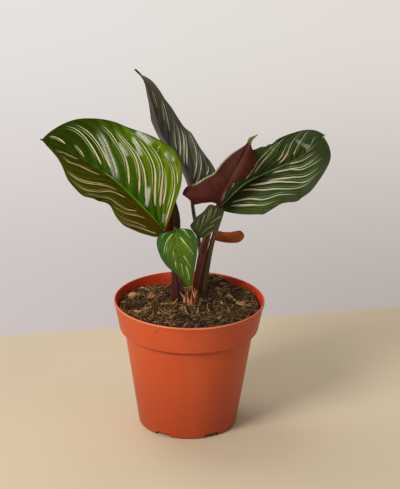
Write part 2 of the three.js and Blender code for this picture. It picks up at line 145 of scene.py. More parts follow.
def along(values, t):
    """Smooth values between evenly spaced ones, for each t from 0 to 1."""
    values = np.asarray(values, float)
    place = np.asarray(t, float) * (len(values) - 1)
    i = np.minimum(np.floor(place).astype(int), len(values) - 2)
    f = place - i
    if values.ndim > 1:
        f = f[..., None]

    def at(k):
        return values[np.clip(k, 0, len(values) - 1)]

    rise = at(i + 1) - at(i)
    slope_in = (at(i + 1) - at(i - 1)) / 2
    slope_out = (at(i + 2) - at(i)) / 2
    return (at(i) + f * slope_in + f**2 * (3 * rise - 2 * slope_in - slope_out)
            + f**3 * (slope_in + slope_out - 2 * rise))


def unit(vectors):
    """The same directions, each one long."""
    length = np.linalg.norm(vectors, axis=-1, keepdims=True)
    return vectors / np.maximum(length, 1e-9)


def srgb(red, green, blue):
    """A colour picked as 0 to 255 values, as the shader wants it."""
    linear = []
    for channel in (red, green, blue):
        share = channel / 255
        linear.append(share / 12.92 if share <= 0.04045 else ((share + 0.055) / 1.055) ** 2.4)
    return (*linear, 1)


def smooth_step(low, high, x):
    """From 0 at low to 1 at high, eased."""
    share = np.clip((x - low) / (high - low), 0, 1)
    return share * share * (3 - 2 * share)


def soil_height(x, y):
    """The height of the soil's top, before its crumbs."""
    height = np.full(np.shape(x), float(POT_HEIGHT - SOIL_DROP))
    for mound_x, mound_y, rise, spread in MOUNDS:
        distance = np.hypot(np.asarray(x) - mound_x, np.asarray(y) - mound_y)
        height = height + rise * np.exp(-((distance / spread) ** 2) / 2)
    return height


# Materials

class Field:
    """A number, colour or vector that changes over a surface: one output of a node."""

    def __init__(self, look, socket):
        self.look = look
        self.socket = socket

    def _join(self, other, operation, turned=False):
        pair = (other, self) if turned else (self, other)
        wide = any(isinstance(x, tuple) or isinstance(x, Field) and x.is_wide() for x in pair)
        kind = "VectorMath" if wide else "Math"
        if wide:
            pair = tuple((x, x, x) if isinstance(x, (int, float)) else x for x in pair)
        return self.look.node(kind, {"operation": operation}, {0: pair[0], 1: pair[1]})

    def is_wide(self):
        return self.socket.type in ("VECTOR", "RGBA")

    def __add__(self, other):
        return self._join(other, "ADD")

    def __radd__(self, other):
        return self._join(other, "ADD", True)

    def __sub__(self, other):
        return self._join(other, "SUBTRACT")

    def __rsub__(self, other):
        return self._join(other, "SUBTRACT", True)

    def __mul__(self, other):
        return self._join(other, "MULTIPLY")

    def __rmul__(self, other):
        return self._join(other, "MULTIPLY", True)

    def __truediv__(self, other):
        return self._join(other, "DIVIDE")

    def __rtruediv__(self, other):
        return self._join(other, "DIVIDE", True)

    def __gt__(self, other):
        return self._join(other, "GREATER_THAN")

    def __lt__(self, other):
        return self._join(other, "LESS_THAN")

    def __abs__(self):
        return self.look.node("Math", {"operation": "ABSOLUTE"}, {0: self})


class Look:
    """A material, with the nodes that make it."""

    def __init__(self, name, world=None):
        self.material = world or bpy.data.materials.new(name)
        self.material.use_nodes = True
        self.tree = self.material.node_tree
        self.tree.nodes.clear()

    def node(self, kind, settings=None, sockets=None, output=0):
        """One node: its settings, then its sockets by name or number. Gives one output."""
        made = self.tree.nodes.new("ShaderNode" + kind)
        for key, value in (settings or {}).items():
            setattr(made, key, value)
        for key, value in (sockets or {}).items():
            if isinstance(value, Field):
                self.tree.links.new(value.socket, made.inputs[key])
            else:
                made.inputs[key].default_value = value
        return Field(self, made.outputs[output]) if made.outputs else None

    def place(self):
        """Where on the object, in metres."""
        return self.node("TexCoord", output=3)

    def painted(self, name, wide=False):
        """A value stored on the mesh, or three of them as a vector."""
        return self.node("Attribute", {"attribute_name": name}, output=1 if wide else 2)

    def parts(self, vector):
        """The three numbers of a vector."""
        split = self.node("SeparateXYZ", sockets={0: vector})
        outputs = split.socket.node.outputs
        return [Field(self, outputs[i]) for i in range(3)]

    def vector(self, x, y, z):
        return self.node("CombineXYZ", sockets={0: x, 1: y, 2: z})

    def noise(self, where, scale, detail, roughness=0.55):
        sockets = {"Vector": where, "Scale": scale, "Detail": detail, "Roughness": roughness}
        return self.node("TexNoise", sockets=sockets)

    def step(self, low, high, x):
        """From 0 at low to 1 at high, eased."""
        sockets = {0: x, 1: low, 2: high}
        return self.node("MapRange", {"interpolation_type": "SMOOTHSTEP"}, sockets)

    def mix(self, share, first, second):
        return self.node("Mix", {"data_type": "RGBA"}, {0: share, 6: first, 7: second}, output=2)

    def blend(self, x, tones, changes):
        """Three colours, one after the other as x grows. Changes are where each change runs from and to."""
        first, second, third = tones
        early, late = changes
        return self.mix(self.step(*late, x), self.mix(self.step(*early, x), first, second), third)

    def most(self, x, y):
        return self.node("Math", {"operation": "MAXIMUM"}, {0: x, 1: y})

    def wave(self, x):
        return self.node("Math", {"operation": "SINE"}, {0: x})

    def bands(self, x):
        """Soft bands between 0 and 1, one for each turn of x."""
        return self.wave(x) * 0.5 + 0.5

    def bump(self, height, depth):
        """A normal from a height that is given in millimetres."""
        return self.node("Bump", sockets={"Strength": 1, "Distance": depth * MM, "Height": height})

    def finish(self, colour, roughness, normal=None, coat=None, alpha=None, **uniform):
        """Joins what changes over the surface, and the values that don't, to the surface shader."""
        sockets = {"Base Color": colour, "Roughness": roughness, "Normal": normal,
                   "Coat Weight": coat, "Alpha": alpha}
        for name, value in uniform.items():
            sockets[name.replace("_", " ").title().replace("Ior", "IOR")] = value
        given = {name: value for name, value in sockets.items() if value is not None}
        shader = self.node("BsdfPrincipled", sockets=given)
        self.node("OutputMaterial", sockets={0: shader})
        return self.material


# Meshes

def make_piece(name, points, faces, looks, stands_for=(), face_look=None, painted=None,
               sharp=None):
    """A smooth piece, from points in millimetres, that rides with the plant."""
    mesh = bpy.data.meshes.new(name)
    mesh.from_pydata((np.asarray(points, float) * MM).tolist(), [], [list(face) for face in faces])
    for look in looks:
        mesh.materials.append(look)
    if face_look is not None:
        mesh.polygons.foreach_set("material_index", np.asarray(face_look, np.int32))
    mesh.polygons.foreach_set("use_smooth", np.ones(len(mesh.polygons), bool))
    for label, values in (painted or {}).items():
        values = np.asarray(values, np.float32)
        wide = values.ndim > 1
        layer = mesh.attributes.new(label, "FLOAT_VECTOR" if wide else "FLOAT", "POINT")
        layer.data.foreach_set("vector" if wide else "value", values.ravel())
    mesh.update()
    if sharp is not None:
        mesh.set_sharp_from_angle(angle=math.radians(sharp))
    piece = bpy.data.objects.new(name, mesh)
    scene.collection.objects.link(piece)
    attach(piece, "root")
    if stands_for:
        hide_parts(*stands_for)
    return piece


def grid_faces(rows, columns, start=0, turned=False, closed=False):
    """Quads over a grid of points that runs row by row."""
    row, column = np.meshgrid(np.arange(rows - 1), np.arange(columns if closed else columns - 1),
                              indexing="ij")
    beside = (column + 1) % columns
    a = start + row * columns + column
    b = start + row * columns + beside
    c = start + (row + 1) * columns + beside
    d = start + (row + 1) * columns + column
    quads = np.stack([a, d, c, b] if turned else [a, b, c, d], -1)
    return quads.reshape(-1, 4)


def outline_of(rows, columns):
    """The points round the outside of a grid, in turn."""
    ring = [row * columns for row in range(rows)]
    ring += [(rows - 1) * columns + column for column in range(1, columns)]
    ring += [row * columns + columns - 1 for row in range(rows - 2, -1, -1)]
    return ring + list(range(columns - 2, 0, -1))


def tube(points, radii, sides, steps, section=None):
    """Points and faces of a closed tube along a smooth line. Also how far along each point is,
    and its place round the tube. Section changes the radius, from the share along and round."""
    t = np.linspace(0, 1, steps + 1)
    line = along(points, t)
    forward = unit(np.gradient(line, axis=0))
    normal = unit(np.cross(forward[0], [0.3, 1, 0.2]))
    normals = []
    for direction in forward:
        normal = unit(normal - direction * normal.dot(direction))
        normals.append(normal)
    normals = np.array(normals)
    others = np.cross(forward, normals)
    turn = np.linspace(0, TURN, sides, endpoint=False)
    radius = along(radii, t)[:, None] * np.ones(sides)
    if section is not None:
        radius = radius * section(t[:, None], turn[None])
    skin = (line[:, None] + radius[..., None] * (np.cos(turn)[None, :, None] * normals[:, None]
            + np.sin(turn)[None, :, None] * others[:, None]))
    count = (steps + 1) * sides
    points_out = np.concatenate([skin.reshape(-1, 3), line[:1], line[-1:]])
    faces = [list(quad) for quad in grid_faces(steps + 1, sides, closed=True)]
    for side in range(sides):
        beside = (side + 1) % sides
        faces.append([count, beside, side])
        faces.append([count + 1, count - sides + side, count - sides + beside])
    share = np.concatenate([np.repeat(t, sides), [0, 1]])
    around = np.concatenate([np.tile(turn / TURN, steps + 1), [0, 0]])
    return points_out, faces, share, around


def joined(bits):
    """Several meshes as one. Each bit is its points, its faces, and its tone at each point."""
    points, faces, tones, start = [], [], [], 0
    for shape, corners, tone in bits:
        points.append(shape)
        faces += [[corner + start for corner in face] for face in corners]
        tones.append(tone)
        start += len(shape)
    return np.concatenate(points), faces, {"tone": np.concatenate(tones)}


# Leaves

def half_width(half, t):
    """Half a blade's width at t, rounded off at both ends, with a thin drip tip past the end."""
    t = np.clip(t, 0, 1)
    u = np.minimum(1, t / (1 - half["drip"]))
    blunt = np.interp(u, [0, 1], half.get("ends", (0.6, 0.6)))
    rounding = np.sin(math.pi * u).clip(0) ** blunt
    least = np.interp(t, [0, 1], [BLADE_START, half.get("tip", 0.5)])
    return np.maximum(least, along(half["width"], t) * rounding)


def flat_place(half, length, t, v):
    """Where a point t along and v across lies on the half laid out flat, in millimetres."""
    back = along(half.get("sweep", [0, 0]), t) * v**SWEEP_CURVE
    return np.stack([t * length - back, v * half_width(half, t)], -1)


def vein_of(half, t, v):
    """A number that stays the same along each side vein: where it would leave the midrib."""
    return t - half["lean"] * v**VEIN_CURVE


def fanned_half(blade, half, side, t, v):
    """A half whose width is measured out from the midrib, with its fold, curl, wave and sweep."""
    rib = along(blade["midrib"], t)
    ahead = along(blade["midrib"], np.minimum(1, t + TANGENT_REACH))
    behind = along(blade["midrib"], np.maximum(0, t - TANGENT_REACH))
    forward = unit(ahead - behind)
    facing = along(blade["faces"], t)
    facing = unit(facing - (facing * forward).sum(1, keepdims=True) * forward)
    right = np.cross(forward, facing)
    width = half_width(half, t)[:, None]
    middle = ((v[1:] + v[:-1]) / 2)[None]
    curl = along(half.get("curl", [0, 0]), t)[:, None]
    angle = np.radians(along(half["fold"], t)[:, None] + curl * middle)
    gap = np.diff(v)[None]
    start = np.zeros((len(t), 1))
    across = np.concatenate([start, np.cumsum(width * np.cos(angle) * gap, 1)], 1)
    lift = np.concatenate([start, np.cumsum(width * np.sin(angle) * gap, 1)], 1)
    height, count, phase = half.get("wave", [0, 1, 0])
    lift = lift + height * v[None] ** 3 * np.sin(TURN * (count * t + phase))[:, None]
    sweep = along(half.get("sweep", [0, 0]), t)[:, None] * v[None] ** SWEEP_CURVE
    return (rib[:, None] + (side * across)[..., None] * right[:, None]
            + lift[..., None] * facing[:, None] - sweep[..., None] * forward[:, None])


def lofted_half(blade, half, side, t, v):
    """A half stretched from the midrib to a margin of its own, with a belly between them."""
    rib = along(blade["midrib"], t)[:, None]
    margin = along(half["margin"], t)[:, None]
    belly = along(half["belly"], t)[:, None]
    bulge = np.sin(math.pi * v) * (1 - 0.3 * v)
    return rib + (margin - rib) * v[None, :, None] + belly * bulge[None, :, None]


def ribs_and_ruffle(blade, half, t, v, width, side):
    """The soft ribs that follow the side veins, and the ruffle of the margin."""
    deep, count = blade["pleats"]
    vein = vein_of(half, t, v)
    room = smooth_step(0, 0.12, v) * (1 - 0.6 * smooth_step(0.65, 1, v))
    uneven = 1.2 * np.sin(5.1 * vein + side) + 0.7 * np.sin(13 * vein + 2 * side)
    ribs = np.sin(TURN * count * vein + uneven) * np.clip(width / RIBBED_WIDTH, 0, 1) * room
    ruffle = v**5 * np.sin(TURN * (RUFFLES * t + 0.2 * side)) * np.clip(width / RUFFLED_WIDTH, 0, 1)
    return deep * ribs + blade["ruffle"] * ruffle


def stripe_marks(half, length, t, v, stripes):
    """For every point of a half, the nearest of the stripes: how far off it is in half widths of
    the stripe, how far along the stripe, and how near."""
    marks = np.zeros((*t.shape, 3))
    if not stripes:
        return marks
    place = flat_place(half, length, t, v)
    best = np.full(t.shape, np.inf)
    for *bends, width in stripes:
        bend_t, bend_v = along(np.reshape(bends, (3, 2)), np.linspace(0, 1, STRIPE_STEPS)).T
        path = flat_place(half, length, bend_t, np.clip(bend_v, 0, 1))
        tangent = unit(np.gradient(path, axis=0))
        run = np.concatenate([[0], np.cumsum(np.linalg.norm(np.diff(path, axis=0), axis=1))])
        nearest = ((place[..., None, :] - path) ** 2).sum(-1).argmin(-1)
        gap = place - path[nearest]
        way = tangent[nearest]
        offset = gap[..., 1] * way[..., 0] - gap[..., 0] * way[..., 1]
        share = (run[nearest] + (gap * way).sum(-1)) / run[-1]
        reach = np.linalg.norm(gap, axis=-1)
        closer = reach < best
        best = np.where(closer, reach, best)
        found = np.stack([offset / width, share, np.clip(1 - reach / (3 * width), 0, 1)], -1)
        marks = np.where(closer[..., None], found, marks)
    return marks


def blade_surface(blade, rows, columns):
    """A blade's middle surface row by row, from the left margin to the right one, and what its
    finish needs to know: vein, place across and along, two sets of stripe marks and one of shine."""
    even = np.linspace(0, 1, rows + 1)
    t = even - ROW_CROWDING * np.sin(TURN * even) / TURN
    v = np.linspace(0, 1, columns + 1) ** COLUMN_CROWDING
    length = np.linalg.norm(np.diff(along(blade["midrib"], t), axis=0), axis=1).sum()
    wide_t, wide_v = np.meshgrid(t, v, indexing="ij")
    halves = []
    for name, side in (("left", -1), ("right", 1)):
        half = blade[name]
        make = lofted_half if "margin" in half else fanned_half
        points = make(blade, half, side, t, v)
        width = np.linalg.norm(points[:, -1] - points[:, 0], axis=1)[:, None]
        normal = unit(np.cross(np.gradient(points, axis=1) * side, np.gradient(points, axis=0)))
        points = points + normal * ribs_and_ruffle(blade, half, wide_t, wide_v, width, side)[..., None]
        place = np.stack([vein_of(half, wide_t, wide_v), side * wide_v, wide_t], -1)
        stripes = half.get("stripes", [])
        marks = [stripe_marks(half, length, wide_t, wide_v, some)
                 for some in (stripes[::2], stripes[1::2], half.get("shine", []))]
        halves.append([points, place, *marks])
    left, right = halves
    return [np.concatenate([a[:, ::-1], b[:, 1:]], 1) for a, b in zip(left, right)]


def make_leaf(name, blade, looks):
    """A blade as a thin closed shell with a raised midrib underneath. Looks are those of its
    top, its underside and its margin."""
    rows, columns = blade["grid"]
    points, place, *marks = blade_surface(blade, rows, columns)
    normal = unit(np.cross(np.gradient(points, axis=1), np.gradient(points, axis=0)))
    v = np.abs(place[..., 1])
    t = place[..., 2]
    reach = np.linalg.norm(points - points[:, columns:columns + 1], axis=-1)
    rib = blade["rib"] * np.exp(-((reach / (0.5 + 0.9 * (1 - t))) ** 2)) * (1 - 0.75 * t)
    groove = GROOVE_DEPTH * np.exp(-((reach / GROOVE_WIDTH) ** 2)) * (1 - t)
    thickness = BLADE_HALF_THICKNESS * (1 - 0.6 * v**8)
    top = points + normal * (thickness - groove)[..., None]
    under = points - normal * (thickness + rib)[..., None]
    tall, wide = points.shape[:2]
    count = tall * wide
    top_faces = grid_faces(tall, wide)
    under_faces = grid_faces(tall, wide, start=count, turned=True)
    ring = np.array(outline_of(tall, wide))
    after = np.roll(ring, -1)
    edge_faces = np.stack([ring, after, after + count, ring + count], -1)
    faces = np.concatenate([top_faces, under_faces, edge_faces])
    face_look = [0] * len(top_faces) + [1] * len(under_faces) + [2] * len(edge_faces)
    points = np.concatenate([top.reshape(-1, 3), under.reshape(-1, 3)])
    painted = {"leaf_place": place, "stripe_a": marks[0], "stripe_b": marks[1], "shine": marks[2]}
    painted = {label: np.concatenate([values.reshape(-1, 3)] * 2) for label, values in painted.items()}
    make_piece(name + "_blade", points, faces, looks, (name,), face_look, painted,
               sharp=60)


# What the finishes of the leaves share
CREAM_STRIPES = (srgb(226, 226, 176), srgb(232, 212, 172))
PALE_GREEN = srgb(104, 130, 60)
MARGIN_BROWN = srgb(58, 40, 20)
PAINTED_HIGHLIGHT_GREY = srgb(176, 176, 160)
RIM_CREAM = srgb(176, 170, 128)
GREEN_CHANGES = ((0.15, 0.6), (0.55, 1.0))
FINE_VEINS = 42
BROAD_VEINS = 11
UNDERSIDE_VEINS = 40


def stripe_lines(look, label, wander, companion):
    """One set of stripes: the lines, each with a thinner one beside it, the deeper green round
    them, and how far along each has turned to its end colour."""
    offset, share, near = look.parts(look.painted(label, wide=True))
    thick = 0.38 + 0.38 * look.step(0.7, 0.2, share) * look.step(-0.04, 0.14, share)
    ratio = abs(offset) / (thick * (wander * 0.7 + 0.65))
    ends = look.step(-0.02, 0.06, share + (wander - 0.5) * 0.08) * look.step(1.03, 0.75, share)
    line = look.step(1.3, 0.75, ratio) * ends * look.step(0, 0.1, near)
    second = look.step(0.42, 0.12, abs(offset + 2.1 + (wander - 0.5) * 0.9)) * look.step(0.12, 0.35, share)
    line = look.most(line, second * ends * look.step(0, 0.15, near) * companion)
    shadow = look.step(4.6, 1.2, ratio) * ends * look.step(0, 0.3, near)
    return line, shadow, look.step(0.1, 0.5, share + (wander - 0.5) * 0.5)


def gloss_and_painted_highlight(look, wander):
    """Where the leaf has a glossy coat that catches the light, and where its colour gets a painted highlight.
    """
    offset, share, near = look.parts(look.painted("shine", wide=True))
    patch = look.step(1.2, 0.5, abs(offset) * (1 + (wander - 0.5) * 0.9))
    return patch * look.step(-0.1, 0.16, share) * look.step(1.1, 0.82, share) * look.step(0, 0.05, near)


def leaf_top(name, shades, left_shades=None, stripe_shades=CREAM_STRIPES, left_stripe=None,
             midrib=PALE_GREEN, near_rib=None, edge=None, foot=None, bright=None, fade=None, end=None,
             companion=0.55, sheen=0.1, highlight_paint=0.1, foot_strength=0.5):
    """The top of a striped leaf. Shades run from the deepest green to the brightest. Left_shades
    and left_stripe are those of the left half. Near_rib, edge, foot, bright, fade and end colour
    the stretch beside the midrib, the margin, the foot of the left half and of the right one, the
    far half of the leaf and its drip tip. Companion is how strongly a thin second line runs beside
    each stripe, highlight_paint how strongly a painted highlight lightens the glossy patches."""
    look = Look(name)
    vein, across, t = look.parts(look.painted("leaf_place", wide=True))
    out = abs(across)
    is_right = across > 0
    is_left = 1 - is_right
    where = look.place()
    grain = look.noise(where, 260, 4)
    cloud = look.noise(where, 30, 2)
    drift = cloud - 0.5
    wander = look.noise(look.vector(vein * 5, across * 6, 0.5), 3, 2)

    # Green, brighter between the side veins and towards the stalk
    fine = look.bands(vein * (TURN * FINE_VEINS) + look.noise(where, 60, 1) * 2)
    broad = look.bands(vein * (TURN * BROAD_VEINS) + 1.2 * look.wave(vein * 5.1))
    light = broad * 0.3 + fine * 0.1 + cloud * 0.7 + (grain - 0.5) * 0.16 + (1 - t) * out * 0.3 - 0.16
    colour = look.blend(light, shades, GREEN_CHANGES)
    if left_shades:
        colour = look.mix(is_right, look.blend(light, left_shades, GREEN_CHANGES), colour)
    if near_rib:
        beside = look.step(0.6, 0.1, out + drift * 0.4) * look.step(0.05, 0.26, out)
        colour = look.mix(beside * is_left * (0.5 - t * 0.25), colour, near_rib)
    if edge:
        outer = look.step(0.35, 0.95, out + drift * 0.4 + look.step(0.4, 0, t) * 0.4)
        colour = look.mix(outer * 0.85, colour, edge)
    if foot:
        reddish = look.step(0.45, 0.1, t + drift * 0.3) * look.step(1.1, 0.3, out + drift * 0.4)
        colour = look.mix(reddish * is_left * foot_strength, colour, foot)
    if bright:
        sunny = look.step(0.85, 0.05, t + drift * 0.3) * look.step(0, 0.8, out) * is_right
        colour = look.mix(sunny * look.step(-0.2, 0.8, light) * 0.7, colour, bright)
    if fade:
        colour = look.mix(look.step(0.45, 0.9, t + drift * 0.3) * 0.85, colour, fade)

    # Stripes
    striped = 0
    for label in ("stripe_a", "stripe_b"):
        line, shadow, turned = stripe_lines(look, label, wander, companion)
        cream, blush = stripe_shades
        tint = look.mix(turned, blush, cream)
        if left_stripe:
            tint = look.mix(is_right, left_stripe, tint)
        colour = look.mix(shadow * 0.4, colour, shades[0])
        colour = look.mix(line * 0.95, colour, tint)
        striped = look.most(striped, line)

    # Midrib, margin and tip
    rib = look.step(1.25, 0.6, out / (0.03 - t * 0.014)) * (0.15 + 0.8 * look.step(0.7, 0.1, t))
    colour = look.mix(rib, colour, midrib)
    colour = look.mix(look.step(0.965, 0.99, out) * 0.6, colour, MARGIN_BROWN)
    if end:
        stretch, shade = end
        colour = look.mix(look.step(*stretch, t), colour, shade)

    # Glossy patches with a painted highlight, and the fine relief of the veins
    patch = gloss_and_painted_highlight(look, wander) * (fine * 0.5 + 0.5)
    # Painted highlight: the glossy patches lightened towards a pale grey.
    colour = look.mix(patch * highlight_paint, colour, PAINTED_HIGHLIGHT_GREY)
    ridges = fine * 0.4 + look.wave(vein * (TURN * 2 * FINE_VEINS)) * 0.15 + grain * 0.25
    roughness = 0.5 + (grain - 0.5) * 0.12 + striped * 0.06
    coat = patch * 0.8 * (0.75 + cloud * 0.5)
    return look.finish(colour, roughness, look.bump(ridges, 0.06), coat,
                       specular_ior_level=sheen, coat_roughness=0.17)


def leaf_underside(name, deep, warm, rib_colour, rim=None, tip=None, left=None):
    """The wine red underside of a leaf, with its veins. Rim and tip are the colours that show
    where the margin and the end turn over, left is the colour of the left half: on the middle leaf it is
    painted light, on the young leaf its own red."""
    look = Look(name)
    vein, across, t = look.parts(look.painted("leaf_place", wide=True))
    out = abs(across)
    where = look.place()
    grain = look.noise(where, 300, 4)
    cloud = look.noise(where, 45, 2)
    fine = look.bands(vein * (TURN * UNDERSIDE_VEINS) + look.noise(where, 60, 1) * 2)
    light = cloud * 0.8 + fine * 0.14 + (grain - 0.5) * 0.3
    colour = look.mix(look.step(0.25, 0.8, light), deep, warm)
    if left:
        colour = look.mix(look.step(0.05, -0.05, across) * (light * 0.4 + 0.6), colour, left)
    rib = look.step(1.3, 0.6, out / (0.045 - t * 0.02))
    colour = look.mix(rib * 0.5, colour, rib_colour)
    if rim:
        turned_over = look.step(0.9, 0.93, across) * look.step(0.38, 0.46, t)
        colour = look.mix(turned_over * 0.9, colour, look.mix(fine, rim, RIM_CREAM))
    if tip:
        hook = look.mix(look.step(0.1, 0.5, out), tip, rim)
        colour = look.mix(look.step(0.865, 0.885, t), colour, hook)
    ridges = fine * 0.5 + look.wave(vein * (TURN * 2 * UNDERSIDE_VEINS)) * 0.2 + grain * 0.4
    return look.finish(colour, 0.5 + (grain - 0.5) * 0.2, look.bump(ridges, 0.08),
                       specular_ior_level=0.08)


def leaf_margin(name, shade):
    """The thin edge of a leaf."""
    look = Look(name)
    spots = look.noise(look.place(), 220, 2)
    return look.finish(look.mix(spots, shade, srgb(96, 76, 40)), 0.5)
